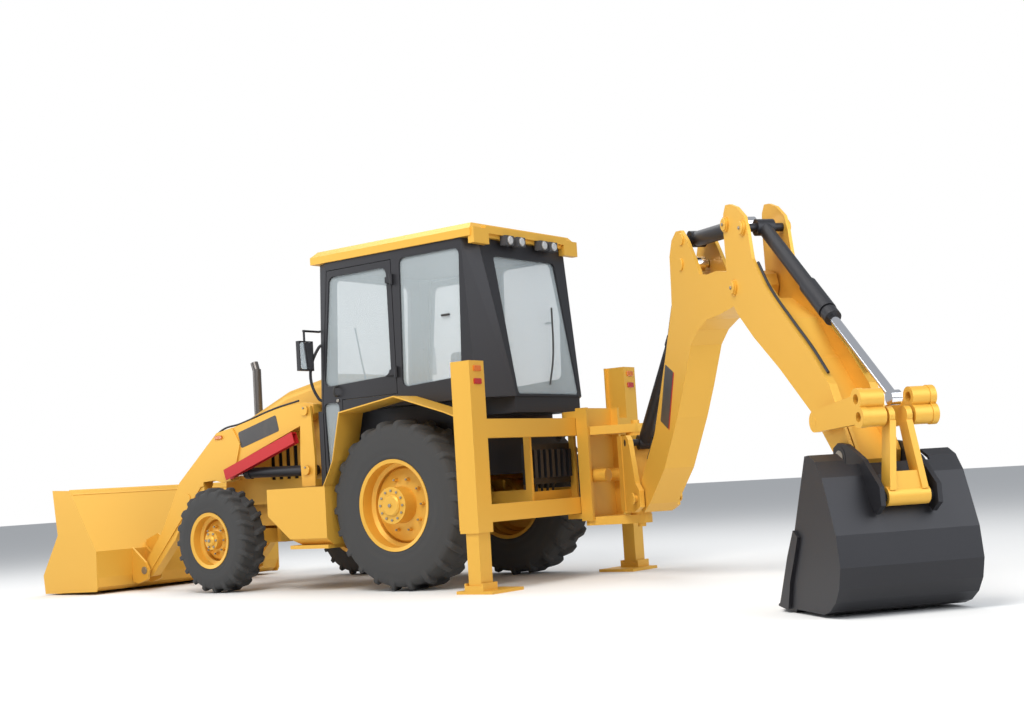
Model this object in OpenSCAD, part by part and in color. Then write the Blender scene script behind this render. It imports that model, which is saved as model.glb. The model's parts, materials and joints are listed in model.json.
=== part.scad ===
// Backhoe loader: a loader bucket in front, a side-shift digging arm behind.
// X points forward, Y to the machine's left, Z up. All sizes are in millimetres.

/* [Place] */
// Rear axle in front of the origin
rear_axle_x = 385; // [0:5:800]
// Centre plane of the machine, from the origin
centre_y = -730; // [-1200:5:0]
// Distance between front and rear axle
wheelbase = 2127; // [1900:1:2400]

/* [Wheels] */
// Rear tyre radius to the tips of the lugs
rear_tyre_r = 700; // [600:1:800]
// Rear tyre width
rear_tyre_w = 420; // [300:1:500]
// Rear wheel centre from the centre plane
rear_track_y = 750; // [650:1:900]
// Rear rim flange radius
rear_rim_r = 376; // [330:1:420]
// Front tyre radius to the tips of the lugs
front_tyre_r = 470; // [400:1:560]
// Front tyre width
front_tyre_w = 300; // [220:1:360]
// Front wheel centre from the centre plane
front_track_y = 915; // [820:1:1000]
// Front rim flange radius
front_rim_r = 250; // [220:1:300]
// Lug height on all tyres
lug_h = 32; // [15:1:45]

/* [Frame] */
// Side rail outer face from the centre plane
rail_y = 330; // [250:1:400]
// Side rail underside
rail_z = 560; // [480:1:640]
// Side rail height
rail_h = 200; // [120:1:260]
// Side rail wall
rail_t = 30; // [12:1:60]
// Length of the side box in front of the rear wheel
box_l = 705; // [500:5:800]
// Outer face of the side box from the centre plane
box_y = 1000; // [800:5:1060]

/* [Cab] */
// Cab outer face from the centre plane
cab_y = 720; // [600:5:800]
// Cab front face, ahead of the rear axle
cab_front = 1010; // [850:5:1150]
// Rear corner post, behind the rear axle
cab_rear = 740; // [600:5:900]
// Underside of the roof
roof_z = 2830; // [2600:5:3000]
// Thickness of the roof cap
roof_t = 115; // [60:1:180]
// Cab wall
cab_wall = 50; // [30:1:90]
// Gap round a door
door_gap = 6; // [5:1:12]

/* [Loader] */
// Arm pivot, ahead of the rear axle
arm_pivot_x = 1150; // [1000:5:1400]
// Arm pivot height
arm_pivot_z = 1560; // [1400:5:1700]
// Arm plates' outer face from the centre plane
arm_y = 722; // [650:1:760]
// Width of one arm
arm_w = 118; // [80:1:160]
// Bucket pin, ahead of the rear axle
bucket_pin_x = 3420; // [3200:5:3700]
// Bucket pin height
bucket_pin_z = 195; // [150:5:400]
// Loader bucket width
loader_w = 2352; // [2000:2:2500]
// Bore of the loader pins
pin_d = 50; // [30:1:70]

/* [Stabilisers] */
// Rear face of the stabiliser housings, behind the rear axle
stab_x = 1060; // [900:5:1250]
// Outer face of the stabiliser housings from the centre plane
stab_y = 1175; // [1050:5:1200]
// Housing size along the machine
stab_d = 180; // [140:5:240]
// Housing size across the machine
stab_w = 180; // [140:5:240]
// Housing underside
stab_z = 460; // [380:5:600]
// Housing top
stab_top = 1780; // [1500:5:1900]

/* [Digging arm] */
// Swing pin behind the rear axle
swing_x = 1490; // [1400:5:1700]
// Side shift of the carriage from the centre plane, to the right
shift_y = 450; // [0:5:500]
// Swing of the digging arm to the left
swing_rest = 38.6; // [0:0.1:60]
// Boom foot pin to the stick pin
boom_l = 2625; // [2300:5:2900]
// Boom chord above level
boom_rest = 31.8; // [20:0.1:60]
// Width of the boom box
boom_w = 240; // [180:2:300]
// Stick pin to the digging bucket's pin
stick_l = 1812; // [1500:2:2100]
// Stick chord below level
stick_rest = 40; // [10:0.1:70]
// Width of the stick
stick_w = 302; // [250:2:340]
// Digging bucket's turn from upright
dig_rest = 7; // [-10:0.1:30]
// Digging bucket width
dig_w = 860; // [450:5:1000]
// Bore of the digging arm's pins
hoe_pin_d = 56; // [40:1:70]

/* [Hidden] */

yellow = [0.87, 0.66, 0.2];
black = [0.1, 0.1, 0.12];
rubber = [0.17, 0.17, 0.17];
steel = [0.7, 0.7, 0.72];
glass = [0.55, 0.65, 0.7, 0.5];
pin_gap = 0.4;
seat_gap = 0.3;

// The machine's own axes start under the rear axle.
module place() { translate([rear_axle_x, centre_y, 0]) children(); }
module both() { children(); mirror([0, 1, 0]) children(); }
// A profile drawn in X and Z, as thick as t, centred on y.
module side(t, y = 0) { translate([0, y, 0]) rotate([90, 0, 0]) linear_extrude(t, center = true) children(); }
// A round bar along Y.
module bar(d, l, x = 0, z = 0, y = 0) {
  translate([x, y, z]) rotate([90, 0, 0]) cylinder(d = d, h = l, center = true, $fn = 48);
}
module rounded(x, y, r) {
  translate([r, 0]) square([x - 2 * r, y]);
  translate([0, r]) square([x, y - 2 * r]);
  for (i = [r, x - r], j = [r, y - r]) translate([i, j]) circle(r, $fn = 32);
}
function turn(p, a) = [p[0] * cos(a) - p[1] * sin(a), p[0] * sin(a) + p[1] * cos(a)];
function dist(a, b) = norm(b - a);
function slope(a, b) = atan2(b[1] - a[1], b[0] - a[0]);
// The upper crossing of two circles: centre a, radius ra and centre b, radius rb.
function meet(a, ra, b, rb) =
  let (d = dist(a, b), k = (ra * ra - rb * rb + d * d) / (2 * d), h = sqrt(ra * ra - k * k))
  a + turn([k, h], slope(a, b));

// A cylinder lies along its own X from its base eye; len is the distance between the eyes.
module barrel(d, len_b, eye, bore, w, rod_d) {
  difference() {
    union() {
      bar(eye, w);
      translate([eye * 0.3, 0, 0]) rotate([0, 90, 0]) cylinder(d = d, h = len_b - eye * 0.3, $fn = 48);
      translate([len_b - d * 0.7, 0, 0]) rotate([0, 90, 0]) cylinder(d = d * 1.14, h = d * 0.7, $fn = 48);
    }
    bar(bore, w + d + 10);
    translate([eye, 0, 0]) rotate([0, 90, 0]) cylinder(d = d * 0.8, h = len_b - eye - 40, $fn = 48);
    translate([eye, 0, 0]) rotate([0, 90, 0]) cylinder(d = rod_d + 2 * pin_gap, h = len_b, $fn = 48);
  }
}
module rod(d, from, len, eye, bore, w, piston) {
  difference() {
    union() {
      bar(eye, w, len);
      translate([from, 0, 0]) rotate([0, 90, 0]) cylinder(d = d, h = len - from - eye * 0.3, $fn = 48);
      translate([from, 0, 0]) rotate([0, 90, 0]) cylinder(d = piston, h = d * 0.5, $fn = 48);
    }
    if (bore > 0) bar(bore, w + d + 10, len);
  }
}

// Tyre: side wall turned round the axle, with a row of slanted lugs on each half.
module tyre(r, w, bead, n, lug_t) {
  base = r - lug_h;
  slant = 22;
  rotate([90, 0, 0]) union() {
    rotate_extrude($fn = 96) polygon([[bead, -w * 0.40], [bead + 30, -w * 0.46], [bead + (base - bead) * 0.55, -w * 0.5],
      [base - 30, -w * 0.46], [base, -w * 0.36], [base, w * 0.36], [base - 30, w * 0.46],
      [bead + (base - bead) * 0.55, w * 0.5], [bead + 30, w * 0.46], [bead, w * 0.40]]);
    for (s = [-1, 1], i = [0 : n - 1])
      rotate([0, 0, (i + (s > 0 ? 0.5 : 0)) * 360 / n]) translate([base - 12, 0, s * w * 0.26])
        rotate([s * slant, 0, 0]) translate([0, -lug_t / 2, -w * 0.22]) cube([lug_h + 10, lug_t, w * 0.44]);
  }
}
// Rim: flange, well and dished disc, as [radius, place along the axle] on the outside.
module rim(bead, flange, w, disc, hub_r, hub_in, hub_out, bore, nuts, nut_r) {
  t = 12;
  b = bead - pin_gap;
  h = w / 2;
  rise = (flange - bead) * w * 0.0025 + 1;
  rotate([-90, 0, 0]) difference() {
    union() {
      rotate_extrude($fn = 96) polygon([[b, -h], [flange, -h - rise], [flange, -h - rise - 12], [b - t, -h - rise - 4],
        [b - t, -h * 0.5], [b - 42, -h * 0.36], [b - 42, disc - 60], [b - 70, disc - 30], [hub_r - 5, disc],
        [hub_r - 5, disc + t + 6], [b - 62, disc - 12], [b - 30, disc - 52], [b - 30, -h * 0.28],
        [b, -h * 0.42]]);
      rotate_extrude($fn = 96) polygon([[b - 30, disc - 52], [b - 30, h * 0.28], [b, h * 0.42], [b, h],
        [flange, h + rise], [flange, h + rise + 12], [b - t, h + rise + 4], [b - t, h * 0.48], [b - 42, h * 0.36],
        [b - 42, disc - 52]]);
      translate([0, 0, hub_in]) cylinder(r = hub_r, h = hub_out - hub_in, $fn = 64);
      for (i = [0 : nuts - 1]) rotate([0, 0, i * 360 / nuts]) translate([nut_r, 0, disc - 14])
        cylinder(r = 15, h = 48, $fn = 6);
    }
    translate([0, 0, hub_in - 1]) cylinder(d = bore, h = 62, $fn = 64);
  }
}
rear_bead = 358;
front_bead = 231;
spindle_d = 110;
front_spindle_d = 64;
module rear_wheel_at(s) { place() translate([0, s * rear_track_y, rear_tyre_r]) children(); }
rear_hub_in = -130;
module rear_rim() {
  rim(rear_bead, rear_rim_r, rear_tyre_w * 0.8 + 0.8, 60, 150, rear_hub_in, 215, spindle_d + 2 * pin_gap, 10, 215);
}
module front_rim() { rim(front_bead, front_rim_r, front_tyre_w * 0.8 + 0.8, 40, 82, -70, 120, front_spindle_d + 2 * pin_gap, 8, 120); }
module rear_left_rim() { color(yellow) rear_wheel_at(1) rear_rim(); }
module rear_left_tyre() { color(rubber) rear_wheel_at(1) tyre(rear_tyre_r, rear_tyre_w, rear_bead, 22, 58); }
module rear_right_rim() { color(yellow) rear_wheel_at(-1) mirror([0, 1, 0]) rear_rim(); }
module rear_right_tyre() {
  color(rubber) rear_wheel_at(-1) mirror([0, 1, 0]) tyre(rear_tyre_r, rear_tyre_w, rear_bead, 22, 58);
}
module front_wheel_at(s) { place() translate([wheelbase, s * front_track_y, front_tyre_r]) children(); }
module front_left_rim() { color(yellow) front_wheel_at(1) front_rim(); }
module front_left_tyre() { color(rubber) front_wheel_at(1) tyre(front_tyre_r, front_tyre_w, front_bead, 20, 44); }
module front_right_rim() { color(yellow) front_wheel_at(-1) mirror([0, 1, 0]) front_rim(); }
module front_right_tyre() {
  color(rubber) front_wheel_at(-1) mirror([0, 1, 0]) tyre(front_tyre_r, front_tyre_w, front_bead, 20, 44);
}

// Rear axle: bevel case, two tubes and a spindle into each hub.
hub_face = rear_track_y + rear_hub_in;
module rear_axle() color(yellow) place() union() {
  bar(230, 2 * (hub_face - 90), 0, rear_tyre_r);
  bar(380, 330, 0, rear_tyre_r);
  for (s = [-1, 1]) {
    bar(330, 80, 0, rear_tyre_r, s * (hub_face - 50));
    bar(spindle_d, 68, 0, rear_tyre_r, s * (hub_face + 22));
  }
}
// Front axle: a beam that ends in a fork round each steering knuckle.
king_y = 745;
king_h = 190;
king_d = 44;
module front_axle() color(yellow) place() translate([wheelbase, 0, front_tyre_r]) difference() {
  union() {
    translate([-80, -rail_y + 130, -70]) cube([160, 2 * (rail_y - 130), 190]);
    translate([-150, 0, 40]) rotate([0, 90, 0]) cylinder(d = 60, h = 300, $fn = 48);
    both() {
      translate([-65, 190, -65]) cube([130, king_y - 190 - 72, 130]);
      for (z = [-king_h / 2 - 26, king_h / 2]) translate([0, 0, z]) {
        translate([-50, king_y - 110, 0]) cube([100, 110, 26]);
        translate([0, king_y, 0]) cylinder(r = 50, h = 26, $fn = 48);
      }
      translate([-50, king_y - 110, -king_h / 2 - 26]) cube([100, 40, king_h + 52]);
    }
  }
  both() translate([0, king_y, -200]) cylinder(d = king_d + 2 * pin_gap, h = 400, $fn = 48);
}
// Steering knuckle: king pin, block and the wheel's spindle.
module knuckle() translate([wheelbase, king_y, front_tyre_r]) union() {
  cylinder(d = king_d, h = king_h + 60, center = true, $fn = 48);
  cylinder(r = 42, h = king_h - 2 * seat_gap, center = true, $fn = 48);
  translate([0, (front_track_y - 70 - king_y) / 2, 0]) rotate([90, 0, 0])
    cylinder(d = 96, h = front_track_y - 70 - king_y - 1, center = true, $fn = 48);
  bar(front_spindle_d, 56, 0, 0, front_track_y - 70 - king_y + 24);
  translate([-190, -12, -22]) cube([170, 40, 26]);
}
module left_knuckle() { color(yellow) place() knuckle(); }
module right_knuckle() { color(yellow) place() mirror([0, 1, 0]) knuckle(); }

// Main frame: two side rails, cross members, loader towers and the nose.
tower_y = arm_y - arm_w / 2;
rail_back = -900;
rail_front = 2560;
nose_x = 2620;
module tower_plate() {
  polygon([[arm_pivot_x - 120, rail_z + rail_h - 60], [arm_pivot_x + 210, rail_z + rail_h - 60],
    [arm_pivot_x + 150, 1130], [arm_pivot_x + 75, arm_pivot_z + 20], [arm_pivot_x + 40, arm_pivot_z + 70],
    [arm_pivot_x - 40, arm_pivot_z + 70], [arm_pivot_x - 75, arm_pivot_z + 20], [arm_pivot_x - 110, 1130]]);
}
lift_base = [arm_pivot_x + 10, 1040];
module main_frame() color(yellow) place() difference() {
  union() {
    both() {
      translate([rail_back, rail_y - rail_t, rail_z]) cube([rail_front - rail_back, rail_t, rail_h]);
      side(22, tower_y - arm_w / 2 - 18) tower_plate();
      side(22, tower_y + arm_w / 2 + 18) polygon([[arm_pivot_x - 80, 900], [arm_pivot_x + 80, 900],
        [arm_pivot_x + 90, 1130], [arm_pivot_x + 62, arm_pivot_z + 40], [arm_pivot_x - 62, arm_pivot_z + 40],
        [arm_pivot_x - 90, 1130]]);
      translate([arm_pivot_x - 80, tower_y - arm_w / 2 - 29, 900]) cube([160, arm_w + 58, 60]);
      translate([arm_pivot_x - 120, rail_y - 4, 700])
        cube([330, tower_y - arm_w / 2 - 7 - rail_y + 4, 60]);
      bar(pin_d, arm_w + 60, arm_pivot_x, arm_pivot_z, tower_y);
      bar(pin_d, arm_w + 60, lift_base[0], lift_base[1], tower_y);
    }
    both() {
      translate([-180, rail_y - rail_t, rail_z + 100]) cube([360, rail_t, 190]);
      for (x = [1200, 2400]) translate([x, rail_y - 4, 725]) cube([60, hood_y - rail_y + 4, 35 - seat_gap]);
    }
    for (x = [rail_back, -260, 700, rail_front - 60])
      translate([x, -rail_y + 1, rail_z + 20]) cube([60, 2 * rail_y - 2, rail_h - 40]);
    translate([rail_front - 1, -rail_y, rail_z - 60]) cube([nose_x - rail_front, 2 * rail_y, rail_h + 56]);
    for (x = [wheelbase - 150, wheelbase + 110]) translate([x, -rail_y + 1, rail_z - 150])
      cube([40, 2 * rail_y - 2, 200]);
  }
  translate([nose_x - 30, 0, rail_z - 200]) cylinder(d = 40, h = 500, $fn = 48);
  bar(230 + 2 * seat_gap, 3 * rail_y, 0, rear_tyre_r);
  translate([wheelbase - 160, 0, front_tyre_r + 40]) rotate([0, 90, 0]) cylinder(d = 60.8, h = 320, $fn = 48);
}

module engine_block() color(black) place() union() {
  translate([1240, -305, rail_z + rail_h + seat_gap]) cube([850, 610, 640 - seat_gap]);
  translate([2200, -330, rail_z + rail_h + seat_gap]) cube([110, 660, 640 - seat_gap]);
}

// Hood: a shell that slopes to the nose, with a grille in front.
hood_y = 430;
hood_back = cab_front + 35;
hood_nose = 2600;
hood_low = 760;
exh_x = 2255;
exh_y = 270;
module hood_form(g) {
  hull() {
    both() {
      translate([hood_back + 40, hood_y - 90, 1800]) rotate([0, 90, 0]) cylinder(r = 90 - g, h = 60, $fn = 32);
      translate([1700, hood_y - 90, 1700]) sphere(r = 90 - g, $fn = 32);
      translate([hood_nose - 90 - g, hood_y - 95, 1390]) sphere(r = 90 - g, $fn = 32);
      translate([hood_back, hood_y - 60, hood_low]) cube([20, 60 - g, 20]);
      translate([hood_nose - 40 - g, hood_y - 60, hood_low]) cube([30, 60 - g, 20]);
    }
  }
}
module hood() color(yellow) place() difference() {
  hood_form(0);
  translate([0, 0, -9]) hood_form(8);
  translate([hood_back - 10, -hood_y + 40, hood_low - 10]) cube([200, 2 * hood_y - 80, 900]);
  translate([hood_nose - 160, -hood_y + 90, hood_low + 110]) cube([200, 2 * hood_y - 180, 480]);
  translate([exh_x, exh_y, 1200]) cylinder(d = 96, h = 600, $fn = 48);
  for (x = [1400, 1500, 1600, 1700, 1800, 1900]) translate([x, -500, 980]) cube([50, 1000, 300]);
}
module grille() color(black) place() union() {
  translate([hood_nose - 40, -hood_y + 90 + seat_gap, hood_low + 110 + seat_gap]) difference() {
    cube([36, 2 * (hood_y - 90 - seat_gap), 480 - 2 * seat_gap]);
    translate([-1, 24, 24]) cube([38, 2 * (hood_y - 114 - seat_gap), 432 - 2 * seat_gap]);
  }
  for (i = [0 : 10]) translate([hood_nose - 32, -hood_y + 100, hood_low + 138 + i * 40])
    cube([18, 2 * hood_y - 200, 14]);
}
module exhaust_stack() color(black) place() translate([exh_x, exh_y, 0]) union() {
  translate([0, 0, 1400 + seat_gap]) cylinder(d = 80, h = 640, $fn = 48);
  translate([0, 0, 2010]) rotate([0, 18, 0]) cylinder(d = 72, h = 100, $fn = 48);
}

// Boxes and steps between the wheels.
box_x = 714;
module side_boxes() color(yellow) place() both() {
  difference() {
    translate([box_x, rail_y + seat_gap, 400]) cube([box_l, box_y - rail_y - seat_gap, 490]);
    translate([box_x + box_l, 0, 660]) rotate([0, 52, 0]) translate([0, 0, -700]) cube([500, 1200, 700]);
    translate([box_x - 10, box_y - 110, 380]) rotate([35, 0, 0]) translate([0, 0, -400]) cube([900, 400, 400]);
    translate([box_x - 10, rail_y, 700]) cube([box_l + 20, tower_y + 120 - rail_y, 200]);
  }
  translate([box_x + 20, box_y - 230, 368]) cube([box_l - 250, 200, 32 - seat_gap]);
}

// Rear fenders: a bent sheet over each tyre, with a hanging front.
fender_t = 8;
fender_y = 1012;
fender_pts = [[724, 890.3], [650, 1006], [600, 1100], [500, 1500], [-120, 1585], [-640, 1420], [-870, 1330]];
module fenders() color(yellow) place() both() {
  side(fender_y - cab_y - seat_gap, (fender_y + cab_y + seat_gap) / 2) polygon(concat(fender_pts,
    [for (i = [6 : -1 : 0]) fender_pts[i] + [i < 4 ? -fender_t : 0, i < 3 ? 0 : -fender_t - 2]]));
}

// Cab: a hollow body whose rear leans out, with its windows and doors cut.
cab_floor = 900;
sill_z = 1560;
rear_low = 960;
cab_in = 520;
module cab_body(g) hull() {
  translate([0, 0, roof_z - 10 - g]) linear_extrude(10) polygon([[cab_front - 40 - g, -cab_y + 60 + g],
    [cab_front - 40 - g, cab_y - 60 - g], [cab_front - 160, cab_y - g], [-cab_rear + 60, cab_y - g],
    [-cab_rear - 20 + g, cab_y - 120], [-cab_rear - 20 + g, -cab_y + 120], [-cab_rear + 60, -cab_y + g],
    [cab_front - 160, -cab_y + g]]);
  translate([0, 0, sill_z - 40 + g]) linear_extrude(10) polygon([[cab_front + 30 - g, -cab_y + 60 + g],
    [cab_front + 30 - g, cab_y - 60 - g], [cab_front - 40, cab_y - g], [-cab_rear - 20, cab_y - g],
    [-rear_low + g, cab_y - 260], [-rear_low + g, -cab_y + 260], [-cab_rear - 20, -cab_y + g],
    [cab_front - 40, -cab_y + g]]);
}
door_front = cab_front - 20;
hinge_x = 80;
hinge_y = cab_y + 15;
door_back = 85;
door_low = 1000;
notch_x = 720;
module door_shape(g) polygon([[door_back + g, sill_z + 60 + g], [notch_x + g, sill_z + 60 + g],
  [notch_x + g, door_low + g], [door_front - 30 - g, door_low + g], [door_front - 30 - g, sill_z + 50],
  [door_front - 150 - g, roof_z - 70 - g], [door_back + g, roof_z - 70 - g]]);
module door_window(g) hull() for (p = [[door_back + 120, 1840], [door_front - 130, 1810],
  [door_front - 230, roof_z - 190], [door_back + 120, roof_z - 190]]) translate(p) circle(60 - g, $fn = 32);
module low_window(g) hull() for (p = [[notch_x + 90, 1080], [door_front - 110, 1080],
  [door_front - 90, 1560], [notch_x + 90, 1560]]) translate(p) circle(45 - g, $fn = 32);
module quarter_window(g) hull() for (p = [[-560, 1760], [-30, 1730], [-60, roof_z - 130], [-600, roof_z - 130]])
  translate(p) circle(55 - g, $fn = 32);
module front_window(g) translate([-500 + g, 1560 + g]) rounded(1000 - 2 * g, 1150 - 2 * g, 60);
module rear_window(g) translate([-430 + g, 1535 + g]) rounded(860 - 2 * g, 1155 - 2 * g, 40);
module cab_frame() color(black) place() difference() {
  union() {
    difference() {
      cab_body(0);
      cab_body(cab_wall);
      both() {
        side(200, cab_y) door_shape(0);
        side(200, cab_y) quarter_window(0);
      }
      translate([cab_front - 300, 0, 0]) rotate([90, 0, 90]) linear_extrude(500) front_window(0);
      translate([-rear_low - 200, 0, 0]) rotate([90, 0, 90]) linear_extrude(500) rear_window(0);
      translate([-550, -cab_in + 30, sill_z - 100]) cube([1240, 2 * cab_in - 60, 200]);
      translate([680, -cab_y + 92, sill_z - 100]) cube([door_front - 692, 2 * cab_y - 184, 200]);
    }
    translate([-560, -cab_in, cab_floor]) cube([1260, 2 * cab_in, 40]);
    translate([690, -cab_y + 90, cab_floor]) cube([300, 2 * cab_y - 180, 40]);
    translate([door_front - 20, -cab_y + 90, cab_floor + 1]) cube([50, 2 * cab_y - 180, 630]);
    both() {
      translate([-560, cab_in - 30, cab_floor]) cube([1260, 30, sill_z - cab_floor]);
      translate([690, cab_in - 30, cab_floor]) cube([30, cab_y - 48 - cab_in + 30, sill_z - cab_floor]);
      translate([door_front - 24, cab_y - 95, cab_floor + 1]) cube([54, 94, 640]);
    }
    translate([-600, -cab_in, cab_floor]) cube([50, 2 * cab_in, sill_z - cab_floor + 10]);
    translate([-rear_low + 20, -cab_y + 262, sill_z - 170]) cube([400, 2 * cab_y - 524, 140]);
  }
}
module cab_glass() color(glass) place() {
  both() side(6, cab_y - 20) quarter_window(0.4);
  intersection() {
    translate([cab_front - 300, 0, 0]) rotate([90, 0, 90]) linear_extrude(500) front_window(0.4);
    difference() { cab_body(20); cab_body(26); }
  }
  intersection() {
    translate([-rear_low - 200, 0, 0]) rotate([90, 0, 90]) linear_extrude(500) rear_window(0.4);
    difference() { cab_body(20); cab_body(26); }
  }
}
module door() difference() {
  union() {
    side(42, cab_y - 20) door_shape(door_gap);
    for (z = [1760, 2540]) {
      translate([hinge_x, hinge_y, z]) cylinder(r = hinge_y - cab_y - seat_gap, h = 90, $fn = 32);
      translate([hinge_x, cab_y + 1 - seat_gap, z + 20]) cube([120, hinge_y - cab_y + 4, 50]);
    }
  }
  side(80, cab_y - 20) door_window(0);
  side(80, cab_y - 20) low_window(0);
}
module door_glass() { side(6, cab_y - 20) door_window(0.4); side(6, cab_y - 20) low_window(0.4); }
module left_door() { color(black) place() door(); }
module left_door_glass() { color(glass) place() door_glass(); }
module right_door() { color(black) place() mirror([0, 1, 0]) door(); }
module right_door_glass() { color(glass) place() mirror([0, 1, 0]) door_glass(); }

module cab_roof() color(yellow) place() union() {
  translate([0, 0, roof_z + seat_gap]) hull() {
    translate([-800, -cab_y - 20, 0]) cube([cab_front + 800, 2 * cab_y + 40, roof_t * 0.55]);
    translate([-770, -cab_y + 40, roof_t - 2]) cube([cab_front + 730, 2 * cab_y - 80, 2]);
  }
  both() translate([-830, cab_y - 190, roof_z - 60]) cube([60, 200, 130]);
  translate([-830, -cab_y + 150, roof_z + 30]) cube([60, 2 * cab_y - 300, 60]);
}
module work_lamps() color(steel) place() {
  for (y = [-330, -190, 130, 290]) translate([-862, y - 55, roof_z - 50]) cube([62 - seat_gap, 110, 80 - seat_gap]);
  for (y = [-420, 420]) translate([cab_front - 34.6, y - 70, roof_z - 90]) cube([66, 140, 90]);
}
module mirrors() color(black) place() both() {
  translate([cab_front + 12, cab_y + 22, 1900]) cube([40, 170, 260]);
  translate([cab_front - 8.2, cab_y - 72, 2250]) rotate([0, 90, 0]) cylinder(d = 20, h = 42, $fn = 24);
  translate([cab_front + 32, cab_y - 80, 2250]) rotate([-90, 0, 0]) cylinder(d = 20, h = 198, $fn = 24);
  translate([cab_front + 32, cab_y + 108, 2150]) cylinder(d = 20, h = 108, $fn = 24);
}
module seat() color(black) place() translate([100, 0, 0]) union() {
  translate([-230, -240, 1330]) rounded_block(460, 480, 110, 50);
  translate([-300, -230, 1440 + seat_gap]) rounded_block(120, 460, 560, 50);
}
module rounded_block(x, y, z, r) linear_extrude(z) rounded(x, y, r);
module controls() color(black) place() {
  translate([100 - 160, -160, cab_floor + 40 + seat_gap]) cube([320, 320, 390 - 2 * seat_gap]);
  translate([700, -110, cab_floor + 40 + seat_gap]) cube([230, 220, 560]);
  translate([700, 0, cab_floor + 600]) rotate([0, -32, 0]) {
    cylinder(d = 50, h = 190, $fn = 32);
    translate([0, 0, 190]) rotate_extrude($fn = 64) translate([185, 0]) circle(16, $fn = 24);
    for (a = [30, 150, 270]) rotate([0, 0, a]) translate([0, -14, 180]) cube([180, 28, 16]);
  }
  translate([-480, -300, cab_floor + 40 + seat_gap]) cube([160, 600, 480]);
  for (y = [-120, 120]) translate([-400, y, cab_floor + 500]) {
    cylinder(d = 18, h = 320, $fn = 24);
    translate([0, 0, 310]) sphere(d = 50, $fn = 24);
  }
}

// Stabiliser frame: two housings, joined by two beams that carry the carriage.
beam_x = 960;
beam_top = [1183, 147];
beam_low = [535, 135];
leg_gap = 6;
leg_wall = 12;
module stabiliser_frame() color(yellow) place() union() {
  both() {
    difference() {
      translate([-stab_x, stab_y - stab_w, stab_z]) cube([stab_d, stab_w, stab_top - stab_z]);
      translate([-stab_x + leg_wall, stab_y - stab_w + leg_wall, stab_z - 1])
        cube([stab_d - 2 * leg_wall, stab_w - 2 * leg_wall, stab_top - stab_z - 19]);
    }
    translate([-stab_x + stab_d - 2, stab_y - stab_w - 30, stab_z + 20])
      cube([12, stab_w + 24, stab_top - stab_z - 20]);
    translate([-beam_x - 2, rail_y - 26, rail_z + 45]) cube([beam_x + rail_back + 2, 26, 585]);
    difference() {
      translate([0, stab_y - stab_w, 0]) side(30, 15) polygon([[-stab_x + stab_d + 9, 1150],
        [-stab_x + stab_d + 60, 1150], [-stab_x + stab_d + 90, 1105], [-stab_x + stab_d + 60, 1060],
        [-stab_x + stab_d + 9, 1060]]);
      bar(44, 100, -stab_x + stab_d + 48, 1105, stab_y - stab_w + 15);
    }
    side(20, stab_y - stab_w - 9) polygon([[-stab_x + 20, 1184], [-stab_x + 20, 1100], [-beam_x, 1020], [-beam_x, 1184]]);
  }
  for (b = [beam_top, beam_low]) translate([-stab_x, -stab_y + stab_w - 1, b[0]])
    cube([stab_x - beam_x, 2 * (stab_y - stab_w) + 2, b[1]]);
}
leg_s = [120, 144];
leg_l = 1325;
pad_t = 24;
leg_y = stab_y - 16 - leg_s[1] / 2;
module leg() union() {
  translate([-stab_x + 18, leg_y - leg_s[1] / 2, pad_t + 39]) cube([leg_s[0], leg_s[1], leg_l]);
  for (y = [stab_y - 168 + seat_gap, stab_y - 17]) translate([-stab_x + 38, y, 700])
    cube([80, y > stab_y - 20 ? 5 - seat_gap : 9 - seat_gap, 500]);
  translate([-stab_x + 18 + leg_s[0] / 2 - 175, stab_y - 395, 0]) cube([350, 395, pad_t]);
  both_x(-stab_x + 18 + leg_s[0] / 2) translate([90 - 16, leg_y - 90, pad_t - 1]) cube([16, 180, 60]);
  translate([-stab_x + 18 - 30, leg_y - 90, pad_t - 1]) cube([leg_s[0] + 60, 180, 42]);
}
module both_x(x) { translate([x, 0, 0]) { children(); mirror([1, 0, 0]) children(); } }
module left_stabiliser() { color(yellow) place() leg(); }
module right_stabiliser() { color(yellow) place() mirror([0, 1, 0]) leg(); }
module valve_bank() color(black) place() {
  translate([-beam_x + 55, -rail_y + 26 + seat_gap, 800]) cube([50, 2 * (rail_y - 26 - seat_gap), 330]);
  for (i = [0 : 6]) translate([-beam_x + 8, -260 + i * 80, 850]) cube([48, 40, 230]);
}

// Loader arms: a box arm and knee plate each side, joined by a torque tube.
arm_pivot = [arm_pivot_x, arm_pivot_z];
bucket_pin = [bucket_pin_x, bucket_pin_z];
lift_eye = [2235, 1060];
lever_pin = [2795, 860];
tube_p = [2648, 800];
module arm_profile() difference() {
  polygon([[arm_pivot_x - 60, arm_pivot_z + 55], [arm_pivot_x + 60, arm_pivot_z + 80], [1530, 1610], [2140, 1480],
    [2350, 1445], [2610, 1240], [2900, 1010], [3180, 560], [3470, 240], [3480, 170], [3420, 130], [3360, 140],
    [3000, 480], [2790, 790], [2720, 730], [2600, 730], [2570, 850], [2560, 1000], [2420, 1010], [2300, 985], [2175, 1000], [2130, 1075], [2100, 1160],
    [1250, 1440], [arm_pivot_x - 10, arm_pivot_z - 70], [arm_pivot_x - 70, arm_pivot_z - 20]]);
  for (p = [arm_pivot, bucket_pin]) translate(p) circle(d = pin_d + 2 * pin_gap, $fn = 48);
}
module loader_arms() color(yellow) place() union() {
  arm_body();
  both() {
    bar(pin_d, 140, tilt_base[0], tilt_base[1], tower_y - arm_w / 2 - 60);
  }
}
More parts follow.
